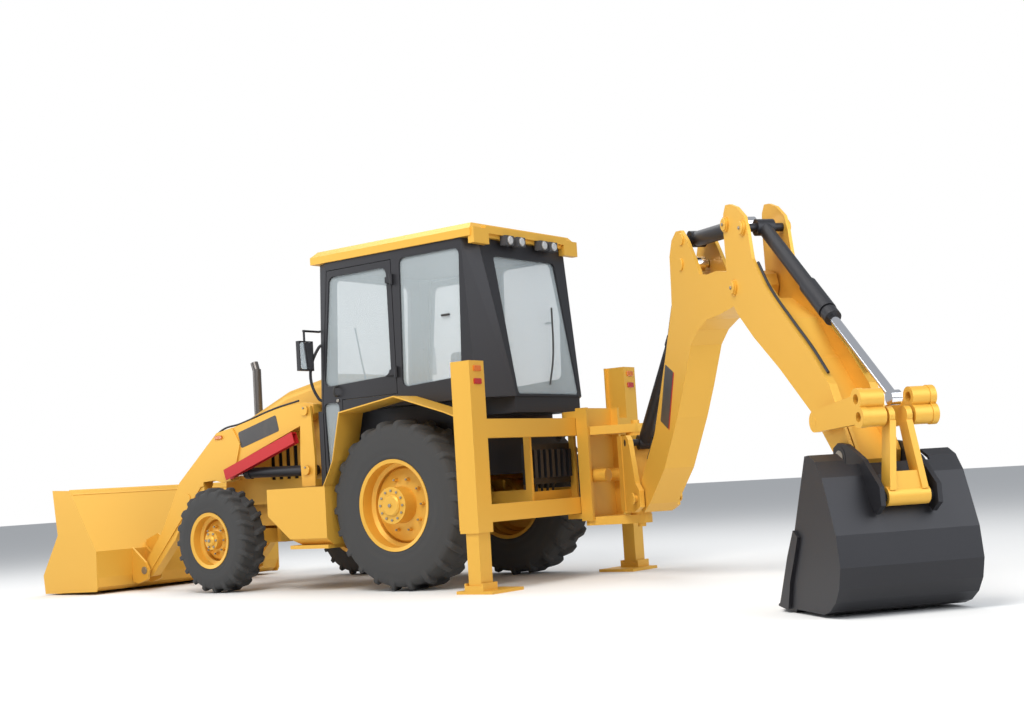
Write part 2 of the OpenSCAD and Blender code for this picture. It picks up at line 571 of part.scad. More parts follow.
module arm_body() difference() {
  union() {
    both() {
      side(arm_w - 24, tower_y) arm_profile();
      difference() {
        side(arm_w, tower_y) intersection() {
          arm_profile();
          polygon([[2350, 1500], [2140, 1480], [2040, 1330], [2100, 1150], [2150, 980], [2600, 960], [3500, 60],
            [3600, 300], [2900, 1100], [2600, 1300]]);
        }
        side(arm_w - 40, tower_y) translate([3320, 60]) square([300, 300]);
      }
      bar(130, 60, tube_p[0], tube_p[1], tower_y + 20);
      bar(pin_d, 130, lever_pin[0], lever_pin[1], tower_y - arm_w / 2 - 60);
    }
    bar(84, 2 * tower_y - arm_w + 60, tube_p[0], tube_p[1]);
  }
  both() side(70, tower_y) hull() {
    translate(lift_eye) circle(112, $fn = 48);
    translate([1900, 890]) square([420, 285]);
  }
}
module safety_brace() color([0.75, 0.12, 0.13]) place() difference() {
  translate([2190, arm_y + seat_gap, 1000]) rotate([0, 17.5, 0]) translate([-960, 0, 0]) cube([950, 60, 100]);
  translate([2190, arm_y + 8, 1000]) rotate([0, 17.5, 0]) translate([-970, 0, -10]) cube([970, 44, 98]);
}
lift_len = dist(lift_base, lift_eye);
module lift_barrel_one() translate([lift_base[0], tower_y, lift_base[1]])
  rotate([0, -slope(lift_base, lift_eye), 0]) barrel(96, 860, 90, pin_d + 2 * pin_gap, 60, 52);
module lift_rod_one() translate([lift_base[0], tower_y, lift_base[1]])
  rotate([0, -slope(lift_base, lift_eye), 0]) rod(52, 190, lift_len, 84, 0, 60, 76);
module lift_barrels() { color(black) place() both() lift_barrel_one(); }
module lift_rods() { color(steel) place() both() lift_rod_one(); }

// Tilt gear: a lever on each arm, pushed by a cylinder, and a link to the bucket.
lever_top = [2570, 1330];
lever_low = [2800, 450];
lever_y = tower_y - arm_w / 2 - 45;
link_pin = [3440, 480];
module lever_one() side(44, lever_y) difference() {
  union() {
    hull() { translate(lever_top) circle(52, $fn = 32); translate(lever_pin) circle(70, $fn = 32); }
    hull() { translate(lever_pin) circle(70, $fn = 32); translate(lever_low) circle(46, $fn = 32); }
  }
  translate(lever_pin) circle(d = pin_d + 2 * pin_gap, $fn = 48);
}
module tilt_levers() { color(yellow) place() both() lever_one(); }
module link_one() {
  difference() {
    side(40, lever_y - 46) hull() for (p = [lever_low, link_pin]) translate(p) circle(48, $fn = 32);
    bar(pin_d + 2 * pin_gap, 60, link_pin[0], link_pin[1], lever_y - 46);
  }
}
module tilt_links() { color(yellow) place() both() link_one(); }
tilt_base = [1500, 1500];
tilt_len = dist(tilt_base, lever_top);
tilt_y = lever_y - 55;
module tilt_barrel_one() translate([tilt_base[0], tilt_y, tilt_base[1]])
  rotate([0, -slope(tilt_base, lever_top), 0]) barrel(76, 760, 76, pin_d + 2 * pin_gap, 50, 42);
module tilt_rod_one() translate([tilt_base[0], tilt_y, tilt_base[1]])
  rotate([0, -slope(tilt_base, lever_top), 0]) {
    rod(42, 340, tilt_len, 76, 0, 50, 60);
  }
module tilt_barrels() { color(black) place() both() tilt_barrel_one(); }
module tilt_rods() { color(steel) place() both() tilt_rod_one(); }

// Loader bucket: a bent shell with end plates, a cutting edge and two pairs of hinge ears.
bk_out = [[4400, 12], [3700, 30], [3625, 70], [3600, 160], [3598, 410], [3971, 1000]];
module loader_bucket() color(yellow) place() difference() {
  union() {
    side(loader_w - 30) polygon(concat(bk_out, [[3984, 988], [3611, 404], [3612, 166], [3640, 82], [3702, 44],
      [4400, 26]]));
    for (s = [-1, 1]) {
      side(16, s * (loader_w / 2 - 8)) polygon([[4415, 12], [4440, 190], [4190, 575], [4249, 1012], [3971, 1000],
        [3598, 410], [3600, 70], [3625, 30]]);
      side(16, s * (loader_w / 2 - 23)) polygon([[4415, 12], [4440, 190], [4330, 250], [4180, 60], [4180, 28]]);
    }
    side(loader_w - 32) polygon([[4415, 12], [4180, 12], [4180, 44], [4330, 44]]);
    side(loader_w - 32) polygon([[3940, 960], [4000, 1010], [4012, 998], [3960, 940]]);
    for (s = [-1, 1], y = [-arm_w / 2 - 24, arm_w / 2 + 24])
      side(24, s * tower_y + y) polygon([[3380, 110], [3360, 200], [3400, 270], [3602, 420], [3602, 90], [3520, 70]]);
    for (s = [-1, 1], y = [-80, 0])
      side(24, s * (lever_y - 6) + y * s) polygon([[3400, 430], [3390, 510], [3440, 540], [3620, 480], [3600, 300]]);
    for (s = [-1, 1]) {
      bar(pin_d, arm_w + 70, bucket_pin_x, bucket_pin_z, s * tower_y);
      bar(pin_d, 100, link_pin[0], link_pin[1], s * (lever_y - 46));
    }
  }
  for (i = [-4 : 4]) translate([4300, i * 250, 0]) cylinder(d = 20, h = 60, $fn = 24);
}

// Digging gear. r runs out from the swing pin, z up.
module hoe() place() translate([-swing_x, -shift_y, 0]) rotate([0, 0, 180 - swing_rest]) children();
carriage_w = 500;
car_x = stab_x + 5;
kp_d = 70;
lug_top = [1180, 1250];
lug_low = [500, 620];
module carriage() color(yellow) place() translate([0, -shift_y, 0]) difference() {
  union() {
    for (s = [-1, 1]) translate([-car_x - 110, s * (carriage_w / 2 - 15) - 15, 470])
      cube([110, 30, beam_top[0] + beam_top[1] + 80 - 470]);
    translate([-car_x - 40, -carriage_w / 2, 470]) cube([40, carriage_w, 960 - 20]);
    translate([-car_x - 30, -carriage_w / 2, beam_top[0] + beam_top[1] + seat_gap])
      cube([car_x + 30 - beam_x + 34, carriage_w, 56 - seat_gap]);
    translate([-beam_x + 4, -carriage_w / 2, beam_top[0] + 60])
      cube([30, carriage_w, beam_top[1] - 30]);
    translate([-car_x - 30, -carriage_w / 2, beam_low[0] - 46]) cube([car_x + 30 - beam_x + 34, carriage_w, 40]);
    translate([-beam_x + 4, -carriage_w / 2, beam_low[0] - 40]) cube([30, carriage_w, 100]);
    for (z = [lug_top[0], lug_low[0] - 70]) hull() {
      translate([-swing_x, 0, z]) cylinder(r = 90, h = 70, $fn = 48);
      translate([-car_x - 60, -carriage_w / 2 + 20, z]) cube([30, carriage_w - 40, 70]);
    }
    for (s = [-1, 1]) translate([-car_x - 225, s * 150, 840]) rotate([0, 90, 0]) cylinder(d = 110, h = 200, $fn = 48);
  }
  translate([-swing_x, 0, 0]) cylinder(d = kp_d + 2 * pin_gap, h = 2000, $fn = 48);
}
foot = [400, 640];
boom_base = [200, 1090];
module swing_post() color(yellow) hoe() difference() {
  union() {
    translate([0, 0, lug_low[0] - 100]) cylinder(d = kp_d, h = lug_top[0] - lug_low[0] + 200, $fn = 48);
    translate([0, 0, lug_low[0] + seat_gap]) cylinder(r = 85, h = lug_top[0] - lug_low[0] - 2 * seat_gap, $fn = 48);
    side(boom_w + 110) polygon([[20, 540], [120, 520], [120, 1150], [20, 1150]]);
    for (s = [-1, 1]) side(40, s * (boom_w / 2 + 30)) polygon([[60, 540], [330, 530], [480, 570], [480, 700],
      [400, 760], [290, 1110], [240, 1150], [150, 1150], [60, 1110]]);
  }
  bar(hoe_pin_d + 2 * pin_gap, boom_w + 200, foot[0], foot[1]);
  bar(hoe_pin_d + 2 * pin_gap, boom_w + 200, boom_base[0], boom_base[1]);
}
module boom_axes() hoe() translate([foot[0], 0, foot[1]]) rotate([0, -boom_rest, 0]) children();
boom_eye = [1930, 800];
stick_base = [2060, 930];
module boom() color(yellow) boom_axes() difference() {
  union() {
    side(boom_w) polygon([[-95, -50], [-60, 90], [260, 150], [596, 215], [1189, 500], [1560, 700], [1700, 720],
      [2000, 620], [2150, 520], [2250, 430], [2398, 338], [2560, 190], [2680, 95], [2735, 20], [2720, -60],
      [2640, -110], [2536, -70], [2248, 74], [2050, 190], [1853, 248], [1676, 248], [1357, 114], [1094, 20],
      [600, -110], [120, -130], [-40, -110]]);
    for (s = [-1, 1]) side(26, s * (boom_w / 2 - 13)) polygon([[1560, 690], [1642, 796], [1787, 1000],
      [1900, 1060], [2010, 1050], [2090, 990], [2130, 860], [2160, 560], [2150, 500]]);
    for (s = [-1, 1]) side(10, s * (boom_w / 2 + 3.5)) translate([boom_l, 0]) circle(85, $fn = 48);
    bar(hoe_pin_d, boom_w + 150, 0, 0);
  }
  bar(hoe_pin_d + 2 * pin_gap, boom_w + 60, boom_l, 0);
  bar(hoe_pin_d, boom_w + 60, boom_eye[0], boom_eye[1]);
  bar(hoe_pin_d, boom_w + 60, stick_base[0], stick_base[1]);
  side(boom_w - 52) polygon([[880, 760], [880, 362], [1189, 420], [1490, 464], [1800, 546], [1960, 542], [2100, 470],
    [2260, 430], [2260, 760]]);
}
eye_p = foot + turn(boom_eye, boom_rest);
boom_cyl_len = dist(boom_base, eye_p);
module boom_cyl() hoe() translate([boom_base[0], 0, boom_base[1]])
  rotate([0, -slope(boom_base, eye_p), 0]) children();
module boom_barrel() color(black) boom_cyl() union() {
  barrel(110, 1150, 120, 40, 110, 62);
  bar(hoe_pin_d, boom_w + 98);
}
module boom_rod() color(steel) boom_cyl() union() {
  rod(62, 520, boom_cyl_len, 110, 0, 110, 87.2);
  bar(hoe_pin_d - 2 * pin_gap, boom_w - 64, boom_cyl_len);
}

nose = foot + turn([boom_l, 0], boom_rest);
module stick_axes() hoe() translate([nose[0], 0, nose[1]]) rotate([0, stick_rest, 0]) children();
stick_eye = [-329, 292];
bucket_base = [-76, 411];
idler = [1518, 39];
module stick_outline() polygon([[-400, 330], [-400, 400], [-340, 440], [-230, 480], [-89, 490], [0, 440],
  [153, 315], [420, 262], [790, 262], [1131, 270], [1440, 245], [1700, 140], [1860, 80], [1892, 10], [1870, -55],
  [1812, -76], [1700, -66], [1344, -30], [848, -60], [422, -110], [139, -120], [-30, -100], [-120, -20],
  [-330, 221]]);
module stick() color(yellow) stick_axes() difference() {
  union() {
    for (s = [-1, 1]) side(22, s * (stick_w / 2 - 11)) stick_outline();
    side(stick_w - 40) intersection() {
      stick_outline();
      translate([330, -300]) square([1230, 800]);
    }
    side(stick_w - 60) intersection() { stick_outline(); translate([1558, -300]) square([400, 800]); }
    for (s = [-1, 1]) side(30, s * (stick_w / 2 - 2)) for (p = [[0, 0], stick_eye, bucket_base]) translate(p)
      circle(52, $fn = 48);
    bar(hoe_pin_d, stick_w - 4, 0, 0);
  }
  bar(hoe_pin_d, stick_w + 40, stick_eye[0], stick_eye[1]);
  bar(hoe_pin_d, stick_w + 40, bucket_base[0], bucket_base[1]);
  bar(hoe_pin_d + 2 * pin_gap, stick_w + 40, stick_l, 0);
  bar(hoe_pin_d + 2 * pin_gap, stick_w + 40, idler[0], idler[1]);
  side(stick_w - 100) polygon([[320, 120], [320, 500], [1900, 500], [1900, 36], [1812, 50], [1700, 68], [1518, 96],
    [1440, 112], [1060, 158], [1020, 152], [790, 192], [700, 210]]);
}
function in_plane(p) = nose + turn(p, -stick_rest);
stick_p0 = foot + turn(stick_base, boom_rest);
stick_p1 = in_plane(stick_eye);
stick_cyl_len = dist(stick_p0, stick_p1);
module stick_cyl() hoe() translate([stick_p0[0], 0, stick_p0[1]])
  rotate([0, -slope(stick_p0, stick_p1), 0]) children();
module stick_barrel() color(black) stick_cyl() union() {
  barrel(112, stick_cyl_len - 106, 120, 40, 120, 62);
  bar(hoe_pin_d - 2 * pin_gap, boom_w - 4);
}
module stick_rod() color(steel) stick_cyl() union() {
  rod(62, 178, stick_cyl_len, 100, 0, 110, 88.8);
  bar(hoe_pin_d - 2 * pin_gap, stick_w - 60, stick_cyl_len);
}

// Bucket gear: rest places follow from the lengths of the tipping link and the bucket link.
tip_arm = 545;
link_len = 435;
dig_ear = [396, -172];
dig_pin = in_plane([stick_l, 0]);
dig_ear_p = dig_pin + turn(dig_ear, -dig_rest);
idler_p = in_plane(idler);
tip_p = meet(idler_p, tip_arm, dig_ear_p, link_len);
tip_a = slope(idler_p, tip_p);
rod_off = [530, 98];
rod_p = idler_p + turn(rod_off, tip_a);
module tipping_link() color(yellow) hoe() translate([idler_p[0], 0, idler_p[1]]) rotate([0, -tip_a, 0]) difference() {
  union() {
    for (s = [-1, 1]) side(36, s * (stick_w / 2 + 60)) difference() {
      union() {
        hull() { circle(62, $fn = 32); translate([tip_arm - 60, 40]) circle(78, $fn = 32); }
        translate(rod_off) circle(60, $fn = 48);
        translate([tip_arm, 0]) circle(60, $fn = 48);
      }
    }
    for (s = [-1, 1], p = [rod_off, [tip_arm, 0]]) bar(112, 110, p[0], p[1], s * (stick_w / 2 - 10));
    bar(hoe_pin_d, stick_w + 158, 0, 0);
  }
  bar(hoe_pin_d + 2 * pin_gap, stick_w + 200, rod_off[0], rod_off[1]);
  bar(hoe_pin_d + 2 * pin_gap, stick_w + 200, tip_arm, 0);
}
module bucket_link() color(yellow) hoe() translate([tip_p[0], 0, tip_p[1]])
  rotate([0, -slope(tip_p, dig_ear_p), 0]) difference() {
    union() {
      for (s = [-1, 1]) bar(100, 34, 0, 0, s * 52);
      bar(104, 250, link_len, 0);
      for (s = [-1, 1]) hull() {
        translate([30, s * 50, -44]) translate([0, -18, 0]) cube([10, 36, 88]);
        translate([link_len - 40, s * 96, -50]) translate([0, -18, 0]) cube([10, 36, 100]);
      }
      translate([link_len - 130, -90, -40]) cube([110, 180, 80]);
    }
    bar(hoe_pin_d + 2 * pin_gap, 400, link_len, 0);
  }
bcyl_p = in_plane(bucket_base);
bcyl_len = dist(bcyl_p, rod_p);
module bucket_cyl() hoe() translate([bcyl_p[0], 0, bcyl_p[1]]) rotate([0, -slope(bcyl_p, rod_p), 0]) children();
module bucket_barrel() color(black) bucket_cyl() union() {
  barrel(92, 1120, 110, 40, 120, 56);
  difference() {
    translate([740, 0, 0]) rotate([0, 90, 0]) cylinder(d = 112, h = 300, $fn = 48);
    translate([730, 0, 0]) rotate([0, 90, 0]) cylinder(d = 80, h = 370, $fn = 48);
  }
  bar(hoe_pin_d - 2 * pin_gap, stick_w - 4);
}
module bucket_rod() color(steel) bucket_cyl() union() {
  rod(56, 600, bcyl_len, 84, 0, 60, 72.8);
}
// Digging bucket: side plate and shell about its pin.
dig_back = [[110, 40], [190, 12], [266, -68], [326, -180], [420, -360], [462, -529], [446, -640], [402, -722],
  [330, -785], [259, -815], [-240, -868]];
module dig_bucket() color(black) hoe() translate([dig_pin[0], 0, dig_pin[1]]) rotate([0, dig_rest, 0]) difference() {
  union() {
    difference() {
      side(dig_w - 36) polygon(concat(dig_back, [[-240, -846], [256, -797], [318, -770], [388, -708], [430, -634],
        [445, -529], [404, -366], [310, -188], [252, -80], [182, -4], [104, 22]]));
      side(stick_w + 210) translate([60, -28]) square([150, 100]);
    }
    for (s = [-1, 1]) {
      side(18, s * (dig_w / 2 - 9)) polygon(concat(dig_back, [[-250, -800], [-120, -500], [30, -60], [60, 30]]));
      side(20, s * (dig_w / 2 + 10)) polygon([[-270, -868], [-235, -780], [-150, -560], [-70, -400], [-10, -430],
        [-60, -560], [-120, -700], [-150, -860]]);
      side(28, s * (stick_w / 2 + 19)) polygon([[-80, -40], [-80, 50], [-20, 85], [80, 85], [270, 20], [450, -110],
        [466, -210], [400, -266], [318, -180], [180, -12], [0, -78]]);
      bar(140, 12, 0, 0, s * (stick_w / 2 + 29));
    }
    for (i = [-2 : 2]) translate([0, i * (dig_w - 90) / 4, 0]) {
      side(62) polygon([[-100, -838], [-240, -826], [-355, -872], [-356, -884], [-240, -886], [-120, -878]]);
    }
    bar(hoe_pin_d, stick_w + 72, 0, 0);
    bar(hoe_pin_d, stick_w + 60, dig_ear[0], dig_ear[1]);
  }
}

main_frame();
engine_block();
hood();
grille();
exhaust_stack();
side_boxes();
fenders();
cab_frame();
cab_glass();
cab_roof();
work_lamps();
mirrors();
seat();
controls();
rear_axle();
front_axle();
stabiliser_frame();
valve_bank();
left_door();
left_door_glass();
right_door();
right_door_glass();
left_knuckle();
right_knuckle();
rear_left_rim();
rear_left_tyre();
rear_right_rim();
rear_right_tyre();
front_left_rim();
front_left_tyre();
front_right_rim();
front_right_tyre();
left_stabiliser();
right_stabiliser();
loader_arms();
safety_brace();
lift_barrels();
lift_rods();
loader_bucket();
tilt_levers();
tilt_links();
tilt_barrels();
tilt_rods();
carriage();
swing_post();
boom();
boom_barrel();
boom_rod();
stick();
stick_barrel();
stick_rod();
dig_bucket();
bucket_barrel();
bucket_rod();
tipping_link();
bucket_link();
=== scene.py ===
"""Looks of a backhoe loader: tyres, seat, hardware, lamps, hoses, panels, materials and a small studio.

Sizes are in metres. M is the machine's own frame: X forward from the rear axle, Y left of the
centre plane, Z up from the ground. The boom and the stick each have a plane of their own, from their joints.
"""

import json
import math

import bpy
import numpy as np
from mathutils import Matrix, Vector


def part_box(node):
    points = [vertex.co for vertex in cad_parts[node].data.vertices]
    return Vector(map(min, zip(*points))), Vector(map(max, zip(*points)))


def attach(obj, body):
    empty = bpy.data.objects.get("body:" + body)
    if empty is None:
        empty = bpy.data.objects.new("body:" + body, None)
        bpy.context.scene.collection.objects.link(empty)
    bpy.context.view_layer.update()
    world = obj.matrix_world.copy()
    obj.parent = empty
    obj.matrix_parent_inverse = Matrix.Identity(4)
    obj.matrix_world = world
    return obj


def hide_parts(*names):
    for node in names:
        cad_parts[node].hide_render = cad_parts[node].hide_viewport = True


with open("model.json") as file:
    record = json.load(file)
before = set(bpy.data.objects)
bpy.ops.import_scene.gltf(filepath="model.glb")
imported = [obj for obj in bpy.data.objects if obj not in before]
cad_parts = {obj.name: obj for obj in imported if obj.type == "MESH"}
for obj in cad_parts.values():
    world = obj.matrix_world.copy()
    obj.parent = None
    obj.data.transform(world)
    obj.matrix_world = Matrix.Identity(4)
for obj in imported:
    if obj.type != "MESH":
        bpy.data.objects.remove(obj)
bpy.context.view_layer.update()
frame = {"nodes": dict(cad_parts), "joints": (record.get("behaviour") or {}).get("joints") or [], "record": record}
NODES = frame["nodes"]
JOINTS = {j["name"]: j for j in frame["joints"]}

bl_info = {
    "name": "Backhoe loader looks",
    "version": (1, 0, 0),
    "blender": (4, 5, 0),
    "location": "View3D > Sidebar > Backhoe",
    "description": "Adds the visual pieces and materials of a backhoe loader to its packed frame",
    "category": "Object",
}

YELLOW = (0.735, 0.400, 0.045)
DUST = (0.36, 0.29, 0.20)
DARK_PANEL = (0.035, 0.034, 0.036)


def joint_at(name):
    """A joint's place at rest."""
    return np.array(JOINTS[name]["pos_m"], float)


AXLE = (joint_at("rear_left_spin") + joint_at("rear_right_spin")) / 2 * np.array([1, 1, 0])


def M(x, y, z):
    """A point of the machine's own frame in the row frame."""
    return AXLE + np.array([x, y, z], float)


class Plane:
    """A link's own axes: x from its first pin to its second, z square to that in the swing plane."""

    def __init__(self, start, end):
        self.origin = joint_at(start)
        self.across = np.array(JOINTS[start]["axis"], float)
        along = joint_at(end) - self.origin
        self.along = along / np.linalg.norm(along)
        self.up = np.cross(self.across, self.along)

    def at(self, x, z, y=0.0):
        return self.origin + x * self.along + z * self.up + y * self.across


BOOM = Plane("boom_lift", "stick_swing")
STICK = Plane("stick_swing", "dig_bucket_turn")
SIDES = (("left", 1), ("right", -1))  # a name and a sign of Y for each side of the machine
FLANKS = (("a", 1), ("b", -1))  # a tag and a sign for each side of a digging link
HEXAGON = 6
ROUND = 32  # corners of a round cap


# Materials


class Graph:
    """Short calls for building a node tree."""

    def __init__(self, tree):
        self.tree = tree

    def node(self, kind, inputs=None, **settings):
        n = self.tree.nodes.new(kind)
        for key, value in settings.items():
            setattr(n, key, value)
        for key, value in (inputs or {}).items():
            if isinstance(value, bpy.types.NodeSocket):
                self.tree.links.new(value, n.inputs[key])
            else:
                n.inputs[key].default_value = value
        return n

    def math(self, operation, a, b=0.0, clamp=False):
        return self.node("ShaderNodeMath", {0: a, 1: b}, operation=operation, use_clamp=clamp).outputs[0]

    def mix(self, factor, a, b):
        return self.node("ShaderNodeMix", {0: factor, 6: a, 7: b}, data_type="RGBA").outputs[2]

    def noise(self, where, scale, detail=6.0, roughness=0.6):
        inputs = {"Vector": where, "Scale": scale, "Detail": detail, "Roughness": roughness}
        return self.node("ShaderNodeTexNoise", inputs).outputs[0]

    def ramp(self, value, low, high):
        n = self.node("ShaderNodeMapRange", {0: value, 1: low, 2: high, 3: 0.0, 4: 1.0}, clamp=True)
        return n.outputs[0]


def new_group(name, inputs, outputs):
    """A shader node group with named sockets: (name, kind, value)."""
    tree = bpy.data.node_groups.new(name, "ShaderNodeTree")
    for label, kind, value in inputs:
        s = tree.interface.new_socket(label, in_out="INPUT", socket_type="NodeSocket" + kind)
        s.default_value = value
    for label, kind in outputs:
        tree.interface.new_socket(label, in_out="OUTPUT", socket_type="NodeSocket" + kind)
    return tree, tree.nodes.new("NodeGroupInput"), tree.nodes.new("NodeGroupOutput"), Graph(tree)


def weathered_group():
    """Paint, plastic or rubber with dust, chips and fine grain.

    Dust thickens near the ground and on ledges. Chips lie in spots, and where a bevelled normal leaves the
    true one.
    """
    tree, given, out, g = new_group(
        "weathered",
        [("Color", "Color", (0.8, 0.8, 0.8, 1)), ("Dust Color", "Color", (*DUST, 1)),
         ("Dust", "Float", 0.3), ("Wear", "Float", 0.3), ("Wear Color", "Color", (0.10, 0.075, 0.055, 1)),
         ("Roughness", "Float", 0.4), ("Grain", "Float", 0.1), ("Grain Scale", "Float", 400.0),
         ("Edge Radius", "Float", 0.004)],
        [("Color", "Color"), ("Roughness", "Float"), ("Normal", "Vector"), ("Dust Mask", "Float")])
    place = g.node("ShaderNodeTexCoord").outputs["Object"]
    facing = g.node("ShaderNodeTexCoord").outputs["Normal"]
    high = g.node("ShaderNodeSeparateXYZ", {0: place}).outputs[2]
    up = g.node("ShaderNodeSeparateXYZ", {0: facing}).outputs[2]
    low = g.math("SUBTRACT", 1.0, g.ramp(high, 0.0, 1.5))
    clouds = g.ramp(g.noise(place, 2.3), 0.35, 0.72)
    specks = g.ramp(g.noise(place, 24.0, 10.0, 0.75), 0.42, 0.75)
    drips = g.node("ShaderNodeMapping", {0: place, 3: (14.0, 14.0, 1.1)}).outputs[0]
    drips = g.ramp(g.noise(drips, 1.0, 5.0), 0.5, 0.78)
    ledge = g.ramp(up, 0.25, 0.95)
    amount = g.math("ADD", g.math("MULTIPLY", low, 0.55), g.math("MULTIPLY", ledge, 0.35))
    amount = g.math("ADD", amount, g.math("MULTIPLY", clouds, 0.30))
    amount = g.math("ADD", amount, g.math("MULTIPLY", drips, 0.22))
    amount = g.math("MULTIPLY", amount, g.math("ADD", 0.45, specks))
    dust = g.math("MULTIPLY", amount, given.outputs["Dust"], clamp=True)
    bevel = g.node("ShaderNodeBevel", {"Radius": given.outputs["Edge Radius"]}, samples=4).outputs[0]
    true_normal = g.node("ShaderNodeNewGeometry").outputs["True Normal"]
    agree = g.node("ShaderNodeVectorMath", {0: bevel, 1: true_normal}, operation="DOT_PRODUCT").outputs[1]
    edge = g.ramp(agree, 0.995, 0.86)
    chips = g.ramp(g.noise(place, 38.0, 8.0, 0.7), 0.50, 0.60)
    spots = g.ramp(g.noise(place, 9.0, 9.0, 0.8), 0.655, 0.70)
    wear = g.math("MAXIMUM", g.math("MULTIPLY", edge, chips), spots)
    wear = g.math("MULTIPLY", wear, given.outputs["Wear"], clamp=True)
    shade = g.math("ADD", 0.90, g.math("MULTIPLY", g.noise(place, 0.9, 4.0), 0.20))
    tint = g.node("ShaderNodeVectorMath", {0: given.outputs["Color"], "Scale": shade}, operation="SCALE")
    color = g.mix(wear, tint.outputs[0], given.outputs["Wear Color"])
    color = g.mix(dust, color, given.outputs["Dust Color"])
    rough = g.math("ADD", given.outputs["Roughness"], g.math("MULTIPLY", dust, 0.5))
    rough = g.math("ADD", rough, g.math("MULTIPLY", wear, 0.25), clamp=True)
    grain = g.noise(place, given.outputs["Grain Scale"], 3.0)
    bump = g.node("ShaderNodeBump", {"Strength": given.outputs["Grain"], "Distance": 0.001, "Height": grain,
                                     "Normal": bevel})
    results = {"Color": color, "Roughness": rough, "Normal": bump.outputs[0], "Dust Mask": dust}
    for key, value in results.items():
        tree.links.new(value, out.inputs[key])
    return tree


def weathered(name, color, rough=0.4, dust=0.3, wear=0.3, grain=0.1, grain_scale=400.0, edge=0.004,
              metallic=0.0, coat=0.0, wear_color=(0.10, 0.075, 0.055), dust_color=DUST, sheen=0.0):
    """A material on the weathered group."""
    mat = bpy.data.materials.new(name)
    mat.use_nodes = True
    g = Graph(mat.node_tree)
    shader = mat.node_tree.nodes["Principled BSDF"]
    use = g.node("ShaderNodeGroup", node_tree=bpy.data.node_groups["weathered"])
    values = {"Color": (*color, 1), "Dust Color": (*dust_color, 1), "Dust": dust, "Wear": wear,
              "Wear Color": (*wear_color, 1), "Roughness": rough, "Grain": grain,
              "Grain Scale": grain_scale, "Edge Radius": edge}
    for key, value in values.items():
        use.inputs[key].default_value = value
    for out, key in (("Color", "Base Color"), ("Roughness", "Roughness"), ("Normal", "Normal")):
        mat.node_tree.links.new(use.outputs[out], shader.inputs[key])
    shader.inputs["Metallic"].default_value = metallic
    shader.inputs["Coat Weight"].default_value = coat
    shader.inputs["Coat Roughness"].default_value = 0.12
    shader.inputs["Sheen Weight"].default_value = sheen
    return mat


def woven(name, color):
    """Seat cloth: a fine weave from two crossed waves, with dust and soft sheen."""
    mat = weathered(name, color, 0.85, 0.16, 0.0, 0.25, 900.0, 0.002, sheen=0.5)
    g = Graph(mat.node_tree)
    shader = mat.node_tree.nodes["Principled BSDF"]
    place = g.node("ShaderNodeTexCoord").outputs["Object"]
    threads = [g.node("ShaderNodeTexWave", {"Vector": place, "Scale": 260.0}, bands_direction=d).outputs[1]
               for d in ("X", "Y")]
    weave = g.math("MAXIMUM", *threads)
    bump = g.node("ShaderNodeBump", {"Strength": 0.5, "Distance": 0.0008, "Height": weave})
    mat.node_tree.links.new(bump.outputs[0], shader.inputs["Normal"])
    return mat


def clear(name, color, rough=0.03, dust=0.25, alpha=0.42):
    """Window or lamp glass with a thin veil of dust."""
    mat = weathered(name, color, rough, dust, 0.0, 0.0, 200.0, 0.002)
    shader = mat.node_tree.nodes["Principled BSDF"]
    use = next(n for n in mat.node_tree.nodes if n.type == "GROUP")
    g = Graph(mat.node_tree)
    veil = g.math("ADD", alpha, g.math("MULTIPLY", use.outputs["Dust Mask"], 0.5), clamp=True)
    mat.node_tree.links.new(veil, shader.inputs["Alpha"])
    shader.inputs["Transmission Weight"].default_value = 0.35
    shader.inputs["IOR"].default_value = 1.45
    shader.inputs["Coat Weight"].default_value = 0.6
    return mat


LOOKS = {
    "yellow_paint": (weathered, (YELLOW,), dict(rough=0.42, dust=0.42, wear=0.55, coat=0.12)),
    "black_paint": (weathered, ((0.020, 0.021, 0.024),), dict(rough=0.38, dust=0.32, wear=0.2, coat=0.15)),
    "red_paint": (weathered, ((0.47, 0.018, 0.022),), dict(rough=0.4, dust=0.3, wear=0.4)),
    "tyre_rubber": (weathered, ((0.030, 0.030, 0.031),),
                    dict(rough=0.78, dust=0.75, wear=0.0, grain=0.5, grain_scale=180.0, edge=0.006,
                         dust_color=(0.30, 0.25, 0.19))),
    "cylinder_black": (weathered, ((0.017, 0.017, 0.019),), dict(rough=0.3, dust=0.3, wear=0.3, coat=0.2)),
    "rod_chrome": (weathered, ((0.78, 0.78, 0.80),), dict(rough=0.1, dust=0.10, wear=0.0, metallic=1.0)),
    "window_glass": (clear, ((0.30, 0.38, 0.42),), dict()),
    "lamp_housing": (weathered, ((0.05, 0.05, 0.055),), dict(rough=0.5, dust=0.35, wear=0.0, grain=0.3)),
    "trim_plastic": (weathered, ((0.03, 0.03, 0.032),), dict(rough=0.6, dust=0.3, wear=0.0, grain=0.5)),
    "seat_fabric": (woven, ((0.05, 0.05, 0.055),), dict()),
    "engine_metal": (weathered, ((0.07, 0.07, 0.075),), dict(rough=0.6, dust=0.7, wear=0.3, metallic=0.4)),
    "exhaust_metal": (weathered, ((0.12, 0.10, 0.09),), dict(rough=0.5, dust=0.3, wear=0.8, metallic=0.8,
                                                          wear_color=(0.16, 0.07, 0.03))),
    "bucket_steel": (weathered, ((0.016, 0.017, 0.020),), dict(rough=0.24, dust=0.30, wear=0.8, coat=0.3,
                                                           wear_color=(0.20, 0.17, 0.14))),
}
